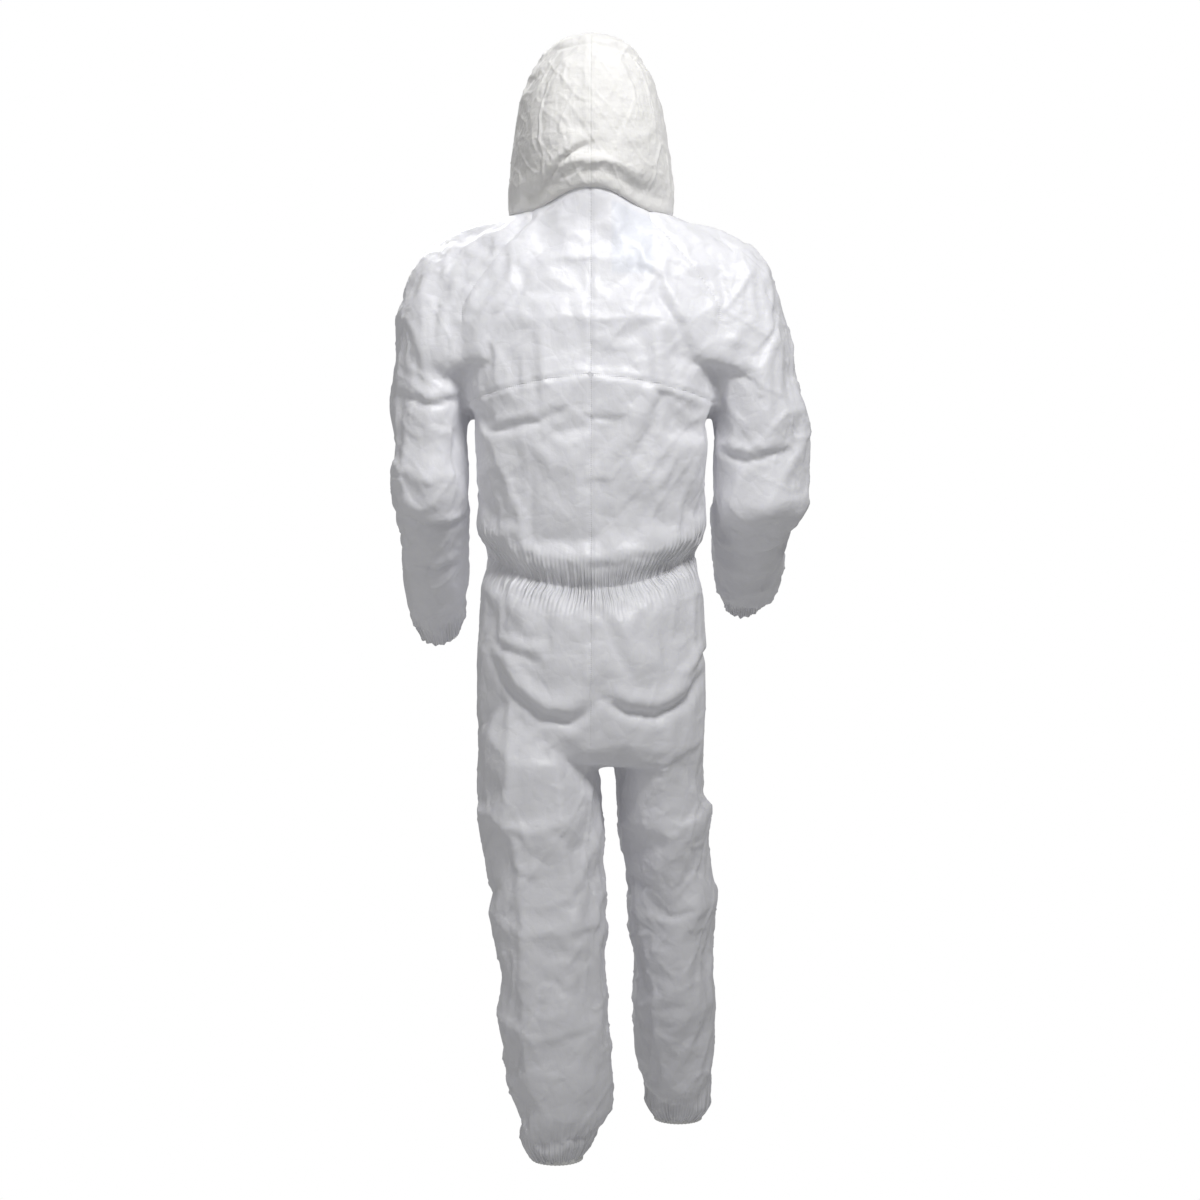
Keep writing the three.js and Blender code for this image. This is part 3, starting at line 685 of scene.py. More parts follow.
def fold_heights(points, seed=3):
    """How far the cloth stands out along its normals because of the folds of the back."""
    total = np.zeros(len(points))
    x, y, z = points.T
    wander = 0.006 * noise3(points, 0.07, seed)
    names = region(points)
    limb = np.array([name != "torso" for name in names])
    rear = smooth_step(y, -0.02, 0.05)
    round_limb = 1 - smooth_step(z, CROTCH - 0.1, CROTCH) * (abs(x) < ARM_START)
    rear = np.where(limb, rear + (1 - rear) * round_limb, rear)
    for path, height, width, groove in FOLDS:
        near_it = abs(z - sum(pz for _, pz in path) / len(path)) < 0.28
        signed, share = path_distance(x[near_it] + wander[near_it], z[near_it] + wander[near_it], path)
        fade = smooth_step(share, -0.02, 0.22) * (1 - smooth_step(share, 0.78, 1.02))
        wide = width * MM * (0.8 + 0.4 * share)
        total[near_it] += height * MM * fade * fold_profile(signed, wide, groove) * rear[near_it]
    return total


def on_limb(points):
    """1 on the arms and legs, 0 on the body."""
    x, _, z = points.T
    leg = 1 - smooth_step(z, CROTCH - 0.06, CROTCH + 0.02)
    return np.maximum(leg, smooth_step(abs(x), ARM_START, ARM_START + 0.03))


def clear_of_ends(z):
    """0 at the hem and the neck, 1 between."""
    return smooth_step(z, HEM, HEM + 0.03) * (1 - smooth_step(z, NAPE - 0.03, NAPE - 0.005))


def creases(points, kinds, stretch, sharpness):
    """Thin sharp ridges in slanting nets: each kind is its size, height, slant and seed."""
    x, y, z = points.T
    total = np.zeros(len(points))
    for size, depth, slant, seed in kinds:
        slanted = np.stack([x + slant * z, y, z / stretch], axis=1)
        total += depth * np.clip(1 - sharpness * abs(noise3(slanted, size, seed)), 0, 1)
    return total


def hanging_folds(points):
    """Long soft folds that hang down the body, sleeves and legs, flatter at the yoke."""
    x, y, z = points.T
    broad = 1 - 2.2 * abs(noise3(points / (1, 1, 6.5), 0.042, 51))
    slim = 1 - 2.2 * abs(noise3(points / (1, 1, 5.0), 0.021, 52))
    soft = noise3(points / (1, 1, 3.0), 0.075, 53)
    leaning = np.stack([x + 0.6 * z, y, z / 2.4], axis=1)
    crumple = 1 - 2.2 * abs(noise3(leaning, 0.052, 54))
    limb = on_limb(points)
    calm = 1 - 0.75 * smooth_step(z, YOKE - 0.02, YOKE + 0.1) * (1 - 0.6 * limb)
    front = 1 - 0.7 * ((y < FRONT * 0.6) & (abs(x) < 0.05))
    ends = clear_of_ends(z)
    gentle = 0.0022 * broad + 0.0009 * slim + 0.003 * soft
    return (gentle * (0.6 + 0.7 * limb) + 0.0034 * crumple * limb) * calm * front * ends


WAIST_DRAW = 0.012  # how far the waist elastic pulls the cloth in
BLOUSE_ABOVE = 0.007  # how far the cloth stands out again above it
BLOUSE_BELOW = 0.005  # and below it


def drawn_in(points):
    """How the waist elastic draws the back in and lets it blouse over above and below."""
    x, y, z = points.T
    away = z - waist_line(x)
    cinch = -WAIST_DRAW * bump(away, 0, 0.015)
    cinch += BLOUSE_ABOVE * bump(away, 0.045, 0.028)
    cinch += BLOUSE_BELOW * bump(away, -0.05, 0.03)
    return np.where(region(points) == "torso", cinch, 0) * smooth_step(y, -0.03, 0.03)


WAIST_RADIUS = 0.15
PLEAT_PITCH = 0.015  # from one pleat to the next round the waist


def pleats(points):
    """How strongly the cloth is gathered at each point, and the phase of the pleats off the elastic."""
    x, y, z = points.T
    names = region(points)
    away = z - waist_line(x)
    shy = np.clip(0.75 + 0.5 * noise3(points / (1, 1, 3), 0.02, 61), 0, 1.2)
    strength = np.where(names == "torso", bump(away, 0, 0.03), 0) * shy * smooth_step(y, -0.03, 0.03)
    phase = np.arctan2(y, x) * WAIST_RADIUS / PLEAT_PITCH * math.tau
    for side in SIDES:
        axis = forearm_axis(side)
        reach = (points - (0, 0, ELBOW)) @ axis
        sleeve = names == f"{side}_forearm_sleeve"
        end = smooth_step(reach, sleeve_length(side) - 0.075, sleeve_length(side) - 0.012)
        middle = outline_middle(f"{side}_wrist_elastic")
        turn = np.arctan2((points - middle) @ np.cross(axis, (1, 0, 0)), x - middle[0])
        strength = np.where(sleeve, end * shy, strength)
        phase = np.where(sleeve, turn * 17, phase)
        shin = names == f"{side}_shin"
        middle = outline_middle(f"{side}_ankle_elastic")
        strength = np.where(shin, (1 - smooth_step(z, HEM + 0.01, HEM + 0.09)) * shy, strength)
        phase = np.where(shin, np.arctan2(y - middle[1], x - middle[0]) * 19, phase)
    return strength, phase + 2.2 * noise3(points / (1, 1, 2), 0.05, 5)


NECK_RISE = 0.028  # how far the middle of the neck seam is raised
NAPE_FILL = 0.040  # how far the cloth there is filled out backwards


def neck_arch(points):
    """Raises the middle of the neck seam at the back, so that it arches from shoulder to shoulder, and
    fills the hollow of the nape, which the hood hangs straight over."""
    x, y, z = points.T
    amount = smooth_step(y, 0.0, 0.05) * (1 - smooth_step(abs(x), 0.01, 0.1)) * bump(z, NAPE, 0.05)
    return points + np.stack([0 * x, NAPE_FILL * amount, NECK_RISE * amount], axis=1)


def crisp_creases(points):
    """Thin sharp creases that only the finer mesh can hold: along the folds, and small handling wrinkles."""
    kinds = ((0.05, 0.0021, 0.7, 71), (0.034, 0.0014, -0.9, 72), (0.02, 0.0007, 0.2, 73))
    total = creases(points, kinds, 2.6, 9)
    return total * (0.45 + 0.75 * on_limb(points)) * clear_of_ends(points[:, 2])


def outline_middle(node):
    low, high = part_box(node)
    return np.array((low + high) / 2)


# ------------------------------------------------------------------ materials
def linear(hex_colour):
    """sRGB hex to linear RGBA."""
    shares = [int(hex_colour[i:i + 2], 16) / 255 for i in (0, 2, 4)]
    return (*[s / 12.92 if s <= 0.04045 else ((s + 0.055) / 1.055) ** 2.4 for s in shares], 1)


def add_node(tree, kind, inputs=None, **settings):
    """Adds a shader node; inputs are values or other nodes' outputs, by socket name or number."""
    node = tree.nodes.new(kind)
    for name, value in settings.items():
        setattr(node, name, value)
    for name, value in (inputs or {}).items():
        if isinstance(value, bpy.types.NodeSocket):
            tree.links.new(value, node.inputs[name])
        else:
            node.inputs[name].default_value = value
    return node


def new_material(name, hex_colour, roughness):
    material = bpy.data.materials.new(name)
    material.use_nodes = True
    tree = material.node_tree
    shader = tree.nodes["Principled BSDF"]
    shader.inputs["Base Color"].default_value = linear(hex_colour)
    shader.inputs["Roughness"].default_value = roughness
    shader.inputs["IOR"].default_value = 1.5
    return material, tree, shader


def bumped(tree, shader, layers):
    """Chains (height socket, depth in metres) layers of bump into the shader's normal."""
    normal = None
    for height, depth in layers:
        inputs = {"Height": height, "Distance": depth, "Strength": 1.0}
        if normal is not None:
            inputs["Normal"] = normal
        normal = add_node(tree, "ShaderNodeBump", inputs).outputs["Normal"]
    tree.links.new(normal, shader.inputs["Normal"])


def attribute(tree, name):
    return add_node(tree, "ShaderNodeAttribute", attribute_name=name).outputs["Fac"]


def texture(tree, kind, scale, inputs=None, **settings):
    """A procedural texture laid over a piece in its own metres, scale times to the metre."""
    where = add_node(tree, "ShaderNodeTexCoord").outputs["Object"]
    inputs = {"Vector": where, "Scale": scale, **(inputs or {})}
    return add_node(tree, f"ShaderNodeTex{kind}", inputs, **settings)


def ramp(tree, value, start, stop, low=0.0, high=1.0, blend="LINEAR"):
    """Turns start to stop into low to high, and holds beyond them."""
    inputs = {"Value": value, "From Min": start, "From Max": stop, "To Min": low, "To Max": high}
    return add_node(tree, "ShaderNodeMapRange", inputs, interpolation_type=blend).outputs[0]


def maths(tree, operation, first, second=0.0):
    return add_node(tree, "ShaderNodeMath", {0: first, 1: second}, operation=operation).outputs[0]


def seam_groove(tree):
    return ramp(tree, attribute(tree, "seam"), 0.0, 0.0022, blend="SMOOTHSTEP")


def translucent(shader, weight, radius):
    """Lets light through the cloth, which softens the shadows in its folds."""
    shader.inputs["Subsurface Weight"].default_value = weight
    shader.inputs["Subsurface Radius"].default_value = radius


def laminate_material(colours):
    """Microporous polyethylene film laminated to spunbond: cool white, with a soft low gloss."""
    material, tree, shader = new_material("film_laminate_on_spunbond", colours.laminate, 0.46)
    translucent(shader, 0.12, (0.004, 0.004, 0.005))
    shader.inputs["Sheen Weight"].default_value = 0.12
    shader.inputs["Sheen Roughness"].default_value = 0.5
    # Handling wrinkles: broad soft dents and finer sharp ones, which break up the sheen.
    dents = texture(tree, "Noise", 26.0, {"Detail": 4.0, "Roughness": 0.55})
    facets = texture(tree, "Voronoi", 34.0, {"Randomness": 1.0}, feature="DISTANCE_TO_EDGE")
    sharp = ramp(tree, facets.outputs["Distance"], 0.0, 0.16)
    # The point-bonded dots of the spunbond print faintly through the film, about a millimetre apart.
    dots = texture(tree, "Voronoi", 900.0, {"Randomness": 0.15})
    # Where the cloth is sewn: a groove at the seam, and overlock stitches across it every 3 mm.
    stitch = maths(tree, "SINE", maths(tree, "MULTIPLY", attribute(tree, "run"), math.tau / 0.003))
    beside = ramp(tree, attribute(tree, "seam"), 0.0028, 0.0016, blend="SMOOTHSTEP")
    threads = maths(tree, "MULTIPLY", stitch, beside)
    # Fine pleats where the cloth is gathered on elastic, 7 mm apart.
    pleat = maths(tree, "SINE", attribute(tree, "phase"))
    pleating = maths(tree, "MULTIPLY", pleat, attribute(tree, "gather"))
    bumped(tree, shader, [(dents.outputs["Fac"], 0.002), (sharp, 0.00025), (seam_groove(tree), 0.0006),
                          (threads, 0.0001), (pleating, 0.0016), (dots.outputs["Distance"], 0.00004)])
    # The size tag under the cloth tints it faintly blue.
    shades = {"Factor": attribute(tree, "tag"), "A": linear(colours.laminate), "B": linear(colours.label)}
    tint = add_node(tree, "ShaderNodeMix", shades, data_type="RGBA")
    tree.links.new(tint.outputs["Result"], shader.inputs["Base Color"])
    return material


def hood_material(colours):
    """Uncoated spunbond-meltblown nonwoven, crumpled fine: warmer, matte and fibrous."""
    material, tree, shader = new_material("crumpled_nonwoven", colours.hood, 0.82)
    shader.inputs["Sheen Weight"].default_value = 0.2
    translucent(shader, 0.15, (0.005, 0.005, 0.004))
    # Crumpling leaves small facets between sharp ridges, a centimetre or so across.
    facets = texture(tree, "Voronoi", 62.0, {"Randomness": 1.0}, feature="F1", distance="MANHATTAN")
    small = texture(tree, "Noise", 120.0, {"Detail": 6.0, "Roughness": 0.62})
    # Loose fibres stand off the surface and keep it from shining.
    fibres = texture(tree, "Noise", 1500.0, {"Detail": 2.0})
    bumped(tree, shader, [(facets.outputs["Distance"], 0.0008), (small.outputs["Fac"], 0.0008),
                          (seam_groove(tree), 0.0005), (fibres.outputs["Fac"], 0.0002)])
    return material


def elastic_material(colours):
    """Cloth gathered over flat elastic: the same white, pleated across."""
    material, tree, shader = new_material("gathered_elastic", colours.thread, 0.8)
    # Tight puckers a few millimetres apart, which make the band look drawn in.
    puckers = texture(tree, "Noise", 260.0, {"Detail": 2.0})
    bumped(tree, shader, [(puckers.outputs["Fac"], 0.001)])
    return material


def tape_material(colours):
    """Woven polyester zip tape: fine ribs run along it."""
    material, tree, shader = new_material("woven_zip_tape", colours.thread, 0.75)
    # The ribs of the weave catch the light as fine lines.
    ribs = texture(tree, "Wave", 260.0, {"Distortion": 0.4})
    bumped(tree, shader, [(ribs.outputs["Fac"], 0.0002)])
    return material


def nylon_material(colours):
    """Moulded nylon of the zip's coils, slider and pull: smooth, with a satin gloss."""
    material, tree, shader = new_material("moulded_nylon", colours.zip, 0.34)
    translucent(shader, 0.1, (0.001, 0.001, 0.001))
    # The mould leaves a faint orange peel, and handling dulls the nylon in patches.
    peel = texture(tree, "Noise", 900.0, {"Detail": 2.0})
    wear = texture(tree, "Noise", 120.0, {"Detail": 3.0})
    tree.links.new(ramp(tree, wear.outputs["Fac"], 0.0, 1.0, 0.26, 0.46), shader.inputs["Roughness"])
    bumped(tree, shader, [(peel.outputs["Fac"], 0.00008)])
    return material


def label_material(colours):
    """Woven satin size tag, left blank: long floats of thread give it a silky sheen."""
    material, tree, shader = new_material("woven_satin_tag", colours.label, 0.4)
    shader.inputs["Sheen Weight"].default_value = 0.4
    threads = texture(tree, "Wave", 640.0, {"Distortion": 1.5, "Detail": 1.0})
    bumped(tree, shader, [(threads.outputs["Fac"], 0.00008)])
    return material


def release_material(colours):
    """Silicone-coated release film over the flap's adhesive: thin, glossy and faintly green."""
    material, tree, shader = new_material("release_film", colours.release, 0.18)
    shader.inputs["Coat Weight"].default_value = 0.4
    # It never lies quite flat on the glue, so its gloss breaks into long waves.
    waves = texture(tree, "Noise", 45.0, {"Detail": 2.0})
    bumped(tree, shader, [(waves.outputs["Fac"], 0.0006)])
    return material


# ------------------------------------------------------------------ pieces
def store(mesh, name, values):
    layer = mesh.attributes.get(name) or mesh.attributes.new(name, "FLOAT", "POINT")
    layer.data.foreach_set("value", np.asarray(values, np.float32))


def shaded(thing, material):
    thing.data.materials.clear()
    thing.data.materials.append(material)
    thing.data.shade_smooth()
    return thing


def parted(thing, names_of):
    """Splits a mesh into one piece per name of its faces' middles, keeping the whole mesh's normals."""
    mesh = thing.data
    count = len(mesh.polygons)
    middles = np.empty(count * 3)
    mesh.polygons.foreach_get("center", middles)
    middles = middles.reshape(-1, 3)
    face_names = names_of(middles)
    points, normals = get_points(thing), get_normals(thing)
    corner_counts = np.empty(count, int)
    mesh.polygons.foreach_get("loop_total", corner_counts)
    corners = np.empty(len(mesh.loops), int)
    mesh.loops.foreach_get("vertex_index", corners)
    starts = np.concatenate(([0], np.cumsum(corner_counts)))
    layers = {layer.name: np.empty(len(points), np.float32) for layer in mesh.attributes
              if layer.domain == "POINT" and layer.data_type == "FLOAT"}
    for name, values in layers.items():
        mesh.attributes[name].data.foreach_get("value", values)
    pieces = {}
    for name in sorted(set(face_names)):
        chosen = np.flatnonzero(face_names == name)
        used = np.unique(np.concatenate([corners[starts[i]:starts[i + 1]] for i in chosen]))
        renumber = np.zeros(len(points), int)
        renumber[used] = np.arange(len(used))
        faces = [renumber[corners[starts[i]:starts[i + 1]]].tolist() for i in chosen]
        piece = new_mesh(f"cloth_{name}", points[used], faces)
        for layer, values in layers.items():
            store(piece.data, layer, values[used])
        piece.data.shade_smooth()
        piece.data.normals_split_custom_set_from_vertices(normals[used].tolist())
        pieces[name] = piece
    bpy.data.meshes.remove(mesh)
    return pieces


def torso_panel(middles):
    """Names of the body's panels, and of the limbs, for the middles of faces."""
    names = region(middles)
    x, y, z = middles.T
    side = np.where(x > 0, "left", "right")
    back = np.where(z > yoke_line(x), "yoke", np.where(z > waist_line(x), "lower_back", "seat"))
    part = np.where(y < 0, "front", back)
    crotch = (z < CROTCH + 0.03) & (abs(x - LEG_PART - 0.013) < 0.03)
    panel = np.array([f"{a}_{b}" for a, b in zip(part, side)], dtype=object)
    panel[crotch] = "gusset"
    return np.where(names == "torso", panel, names)


# ------------------------------------------------------------------ hood
HOOD_NODES = ["hood_left_panel", "hood_right_panel"]
FACE = (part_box("face_elastic")[0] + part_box("face_elastic")[1]) / 2
FACE_REACH = (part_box("face_elastic")[1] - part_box("face_elastic")[0]) / 2 - Vector((0.008, 0, 0.008))
HOOD_FOLDS = [
    ([(0.000, 0.090), (0.036, 0.060), (0.060, 0.030), (0.088, 0.004)], 6, 12, 1.0),
    ([(0.070, 0.236), (0.020, 0.246), (-0.040, 0.240), (-0.080, 0.222)], 4, 9, 1.2),
    ([(0.070, 0.030), (0.040, 0.060), (-0.020, 0.150)], 4, 9, 0),
    ([(-0.010, 0.110), (-0.040, 0.060), (-0.080, 0.010)], 4, 8, 0),
    ([(0.050, 0.215), (0.062, 0.140), (0.066, 0.060)], 4, 7, 0),
    ([(-0.035, 0.210), (-0.045, 0.150), (-0.030, 0.090)], 3, 7, 0),
    ([(0.104, 0.190), (0.088, 0.120), (0.090, 0.040)], 4, 7, 0),
    ([(-0.060, 0.170), (-0.078, 0.100), (-0.088, 0.020)], 4, 7, 0),
]


def hood_rings():
    """From inside the neck seam out round the lower edge and up to the crown."""
    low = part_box("hood_left_panel")[0].z
    levels = list(np.linspace(low + 0.004, CROWN - 0.0012, 32))
    rings = [level_ring(HOOD_NODES, z) for z in levels]
    neck = level_ring(BODY_NODES, NAPE - 0.008)
    first = rings[0]
    tuck = [neck + (first - neck) * (share, share, 0) + (0, 0, rise)
            for share, rise in ((0.0, -0.004), (0.4, -0.008), (0.8, -0.006), (0.97, 0.0))]
    return tuck + rings


def hood_cloth(shape):
    thing = joined("hood_cloth", [tube(hood_rings(), True)])
    thing = relaxed(remeshed(thing, 0.0048), 5)
    without(thing, lambda p: (p[:, 2] < NAPE - END_TRIM)
            & (np.hypot(p[:, 0] / 0.1, (p[:, 1] + 0.02) / 0.09) < 1))
    points = get_points(thing)
    x, y, z = points.T
    rear = smooth_step(y, -0.05, 0.03)
    total = np.zeros(len(points))
    wander = 0.004 * noise3(points, 0.04, 21)
    for path, height, width, groove in HOOD_FOLDS:
        signed, share = path_distance(x + wander, z + wander, path)
        fade = smooth_step(share, -0.02, 0.2) * (1 - smooth_step(share, 0.8, 1.02))
        wide = width * MM
        total += height * MM * fade * rear * fold_profile(signed, wide, groove)
    seam = abs(x)
    total += rear * (0.0008 * bump(seam, 0.006, 0.004) - 0.0008 * bump(seam, 0, 0.0035))
    crumples = ((0.034, 5.0, 0.8, 31), (0.015, 2.0, 0.34, 32), (0.0085, 1.1, 0.2, 33))
    for size, stretch, depth, seed in crumples:
        ridged = 1 - 2 * abs(noise3(points / (1, 1, stretch), size, seed))
        total += shape.crinkle * depth * ridged * smooth_step(z, 0.0, 0.03)
    out = np.hypot((x - FACE.x) / FACE_REACH.x, (z - FACE.z) / FACE_REACH.z)
    gathered = (y < 0) * (1 - smooth_step(out, 1.0, 1.5))
    turn = np.arctan2(z - FACE.z, x - FACE.x)
    tucks = np.sin(turn * 46 + 2 * noise3(points, 0.03, 35))
    total = total * (1 - 0.7 * gathered) + gathered * 0.0016 * tucks
    lowest = smooth_step(z, 0.002, 0.012)
    set_points(thing, neck_arch(pushed(thing, points, total * lowest)))
    thing = subdivided(thing)
    points = get_points(thing)
    kinds = ((0.032, 0.0016, 0.5, 81), (0.02, 0.0011, -0.7, 82), (0.011, 0.0006, 0.1, 83))
    crisp = creases(points, kinds, 2.4, 6) * smooth_step(points[:, 2], 0.004, 0.03)
    set_points(thing, pushed(thing, points, crisp))
    without(thing, lambda p: (p[:, 1] < 0) & (np.hypot((p[:, 0] - FACE.x) / (FACE_REACH.x + 0.002),
                                                      (p[:, 2] - FACE.z) / (FACE_REACH.z + 0.002)) < 1))
    x, y, z = get_points(thing).T
    store(thing.data, "seam", np.where(y > -0.08, abs(x), 0.05))
    return thing


def loop_band(name, centres, outward, along, half, thick, pleats, seed=1):
    """A closed band of gathered elastic through centres: half as wide either way along, thick outward."""
    count = len(centres)
    rings = []
    around = np.arange(count) / count * math.tau
    ripple = thick * 0.45 * np.sin(around * pleats + 1.5 * noise3(np.asarray(centres), 0.02, seed))
    corners = [(-1, 0), (-0.92, 0.8), (-0.4, 1), (0.4, 1), (0.92, 0.8), (1, 0), (0.92, -0.8), (-0.92, -0.8)]
    for i in range(count):
        rings.append(np.array([centres[i] + along[i] * half * a + outward[i] * (thick / 2 * b + ripple[i])
                               for a, b in corners]))
    sides = len(corners)
    points = np.concatenate(rings)
    faces = []
    for i in range(count):
        nxt = (i + 1) % count
        for k in range(sides):
            m = (k + 1) % sides
            faces.append((i * sides + k, nxt * sides + k, nxt * sides + m, i * sides + m))
    return faced_outward(new_mesh(name, points, faces))


def face_band():
    """Follows the edge of the face opening just inside the hood."""
    turns = np.arange(240) / 240 * math.tau
    centres, outward, along = [], [], []
    graph_points = mesh_arrays("face_elastic")[0]
    for turn in turns:
        x = FACE.x + (FACE_REACH.x + 0.003) * math.cos(turn)
        z = FACE.z + (FACE_REACH.z + 0.003) * math.sin(turn)
        gaps = np.hypot(graph_points[:, 0] - x, graph_points[:, 2] - z)
        nearest = np.argsort(gaps)[:6]
        y = (graph_points[nearest, 1] / (gaps[nearest] + 1e-4)).sum() / (1 / (gaps[nearest] + 1e-4)).sum()
        centres.append((x, y - 0.0015, z))
        outward.append((0, -1, 0))
        along.append((math.cos(turn), 0, math.sin(turn)))
    centres = np.array(centres)
    kernel = np.ones(15) / 15
    wrapped = np.concatenate((centres[-7:, 1], centres[:, 1], centres[:7, 1]))
    centres[:, 1] = np.convolve(wrapped, kernel, "valid")
    return loop_band("face_gather", centres, np.array(outward), np.array(along), 0.0055, 0.0032, 60, 41)


def end_band(name, node, axis):
    """Elastic inside the end of a sleeve or leg."""
    middle = outline_middle(node)
    axis = np.asarray(axis)
    first = np.array((1.0, 0, 0))
    second = np.cross(axis, first)
    points = mesh_arrays(node)[0]
    flat = points - middle
    radius = np.median(np.hypot(flat @ first, flat @ second))
    turns = np.arange(160) / 160 * math.tau
    outward = np.outer(np.cos(turns), first) + np.outer(np.sin(turns), second)
    centres = middle + outward * (radius - 0.001)
    along = np.repeat(axis[None], len(turns), axis=0)
    return loop_band(name, centres, outward, along, 0.006, 0.0022, 40, 43)


def waist_band():
    """Sewn inside the back of the waist, from side to side."""
    points = mesh_arrays("waist_elastic")[0]
    level = points[:, 2].mean()
    ring = level_ring(["waist_elastic"], level)
    ring = ring[ring[:, 1] > 0.0]
    order = np.argsort(-ring[:, 0])
    ring = ring[order]
    even = np.linspace(0, len(ring) - 1, 220)
    index = np.arange(len(ring))
    spine = np.stack([np.interp(even, index, ring[:, k]) for k in range(3)], axis=1)
    spine[:, 1] -= 0.006
    spine *= (0.94, 1, 1)
    spine[:, 2] = waist_line(spine[:, 0]) * 0.6 + level * 0.4
    out = spine * (1, 1, 0)
    out /= np.linalg.norm(out, axis=1, keepdims=True)
    ripple = 0.0012 * np.sin(even * 1.9)
    points, faces = [], []
    shape = [(-1, -1), (-1, 1), (1, 1), (1, -1)]
    for i in range(len(spine)):
        for a, b in shape:
            points.append(spine[i] + out[i] * (b * 0.0008 + ripple[i]) + np.array((0, 0, a * 0.0055)))
    for i in range(len(spine) - 1):
        for k in range(4):
            m = (k + 1) % 4
            faces.append((i * 4 + k, i * 4 + m, i * 4 + 4 + m, i * 4 + 4 + k))
    faces += [(0, 3, 2, 1), tuple(len(points) - 4 + k for k in range(4))]
    return new_mesh("waist_gather", points, faces)


# ------------------------------------------------------------------ zip and flap
def bevelled(name, boxes, bevel):
    """One mesh of bevelled boxes, each (low corner, high corner)."""
    edit = bmesh.new()
    for low, high in boxes:
        low, high = Vector(low), Vector(high)
        made = bmesh.ops.create_cube(edit, size=1)["verts"]
        for vert in made:
            vert.co = Vector(low[i] + (vert.co[i] + 0.5) * (high[i] - low[i]) for i in range(3))
    bmesh.ops.bevel(edit, geom=edit.edges[:], offset=bevel, segments=2, profile=0.6, affect="EDGES")
    mesh = bpy.data.meshes.new(name)
    edit.to_mesh(mesh)
    edit.free()
    thing = bpy.data.objects.new(name, mesh)
    bpy.context.scene.collection.objects.link(thing)
    mesh.shade_smooth()
    return thing


def zip_coil(side):
    """A row of coiled nylon teeth: one turn every 2.6 mm, pushed through the tape's edge."""
    low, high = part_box(f"zip_teeth_{side}")
    pitch = 0.0026
    count = int((high.z - low.z) / pitch)
    wire = 0.00042
    middle = (low + high) / 2
    wide, deep = (high.x - low.x) / 2 - wire, (high.y - low.y) / 2 - wire
    per_turn, sides = 8, 5
    steps = count * per_turn
    turn = np.arange(steps) / per_turn * math.tau
    spine = np.stack([middle.x + wide * np.cos(turn), middle.y + deep * np.sin(turn),
                      low.z + wire + np.arange(steps) / steps * (high.z - low.z - 2 * wire)], axis=1)
    out = np.stack([np.cos(turn), np.sin(turn), 0 * turn], axis=1)
    rings = []
    for i in range(steps):
        rings.append(spine[i] + np.array([out[i] * math.cos(a) * wire + np.array((0, 0, math.sin(a) * wire))
                                          for a in np.arange(sides) / sides * math.tau]))
    points, faces = tube(rings, True)
    return new_mesh(f"zip_coil_{side}", points, faces)


def doubled_faces(across, tall):
    """Faces of a strip of two layers, each of across by tall cells, closed all round."""
    row = across + 1
    block = row * (tall + 1)
    faces = []
    for j in range(tall):
        for i in range(across):
            a = j * row + i
            faces.append((a, a + row, a + row + 1, a + 1))
            faces.append((block + a, block + a + 1, block + a + row + 1, block + a + row))
    for j in range(tall):
        a, b = j * row, j * row + across
        faces.append((a, block + a, block + a + row, a + row))
        faces.append((b, b + row, block + b + row, block + b))
    for i in range(across):
        a, b = i, tall * row + i
        faces.append((a, a + 1, block + a + 1, block + a))
        faces.append((b, block + b, block + b + 1, b + 1))
    return faces


def storm_flap_cloth():
    """A doubled strip sewn down its left edge, with a topstitched fold and a soft wave down its length."""
    low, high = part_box("storm_flap")
    across, tall = 40, 260
    middle = (low.x + high.x) / 2
    half = (high.x - low.x) / 2 - 0.0006
    points, seam, run = [], [], []
    for layer in (0, 1):
        for j in range(tall + 1):
            z = low.z + 0.0006 + (high.z - low.z - 0.0012) * j / tall
            for i in range(across + 1):
                u = -1 + 2 * i / across
                x = middle + u * half
                rise = 1 - smooth_step(abs(u) * half, 0.0085, half - 0.007)
                wave = 0.0009 * math.sin(z * 31) * math.sin(z * 11 + 1) * (1 - u) * 0.5
                y = high.y - 0.0002 - rise * (high.y - low.y - 0.0014) * 0.97 + wave * rise
                points.append((x, y - (0.0011 if layer else 0), z))
                seam.append(abs(half - abs(x - middle) - 0.0035))
                run.append(z)
    thing = faced_outward(new_mesh("storm_flap_cloth", points, doubled_faces(across, tall)))
    store(thing.data, "seam", seam)
    store(thing.data, "run", run)
    return thing


def worn_box(node, bevel, name):
    low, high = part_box(node)
    return bevelled(name, [(low, high)], bevel)


# ------------------------------------------------------------------ operators
class CoverallBody(bpy.types.Operator):
    """Sews the body, sleeves and legs as one cloth, drapes it and parts it at the joints"""

    bl_idname = "coverall.body"
    bl_label = "Body, sleeves and legs"

    def execute(self, context):
        shape, colours = context.scene.coverall_shape, context.scene.coverall_colours
        cloth = cloth_form(shape.cell)
        points = get_points(cloth)
        lift = fold_heights(points) + hanging_folds(points) + drawn_in(points)
        set_points(cloth, pushed(cloth, points, lift))
        draped(cloth, body_pins(points), shape.drape_steps, shape.fullness)
        subdivided(cloth)
        points = get_points(cloth)
        strength, phase = pleats(points)
        fine = sewn_relief(points) + shape.gather * strength * np.sin(phase) + crisp_creases(points)
        set_points(cloth, neck_arch(pushed(cloth, points, fine)))
        distance, run = seam_distance(points)
        store(cloth.data, "seam", distance)
        store(cloth.data, "run", run)
        store(cloth.data, "tag", tag_tint(points))
        store(cloth.data, "gather", strength)
        store(cloth.data, "phase", phase * 2.1)
        material = laminate_material(colours)
        pieces = parted(cloth, torso_panel)
        for name, piece in pieces.items():
            piece.data.materials.append(material)
            attach_body_piece(name, piece)
        return {"FINISHED"}


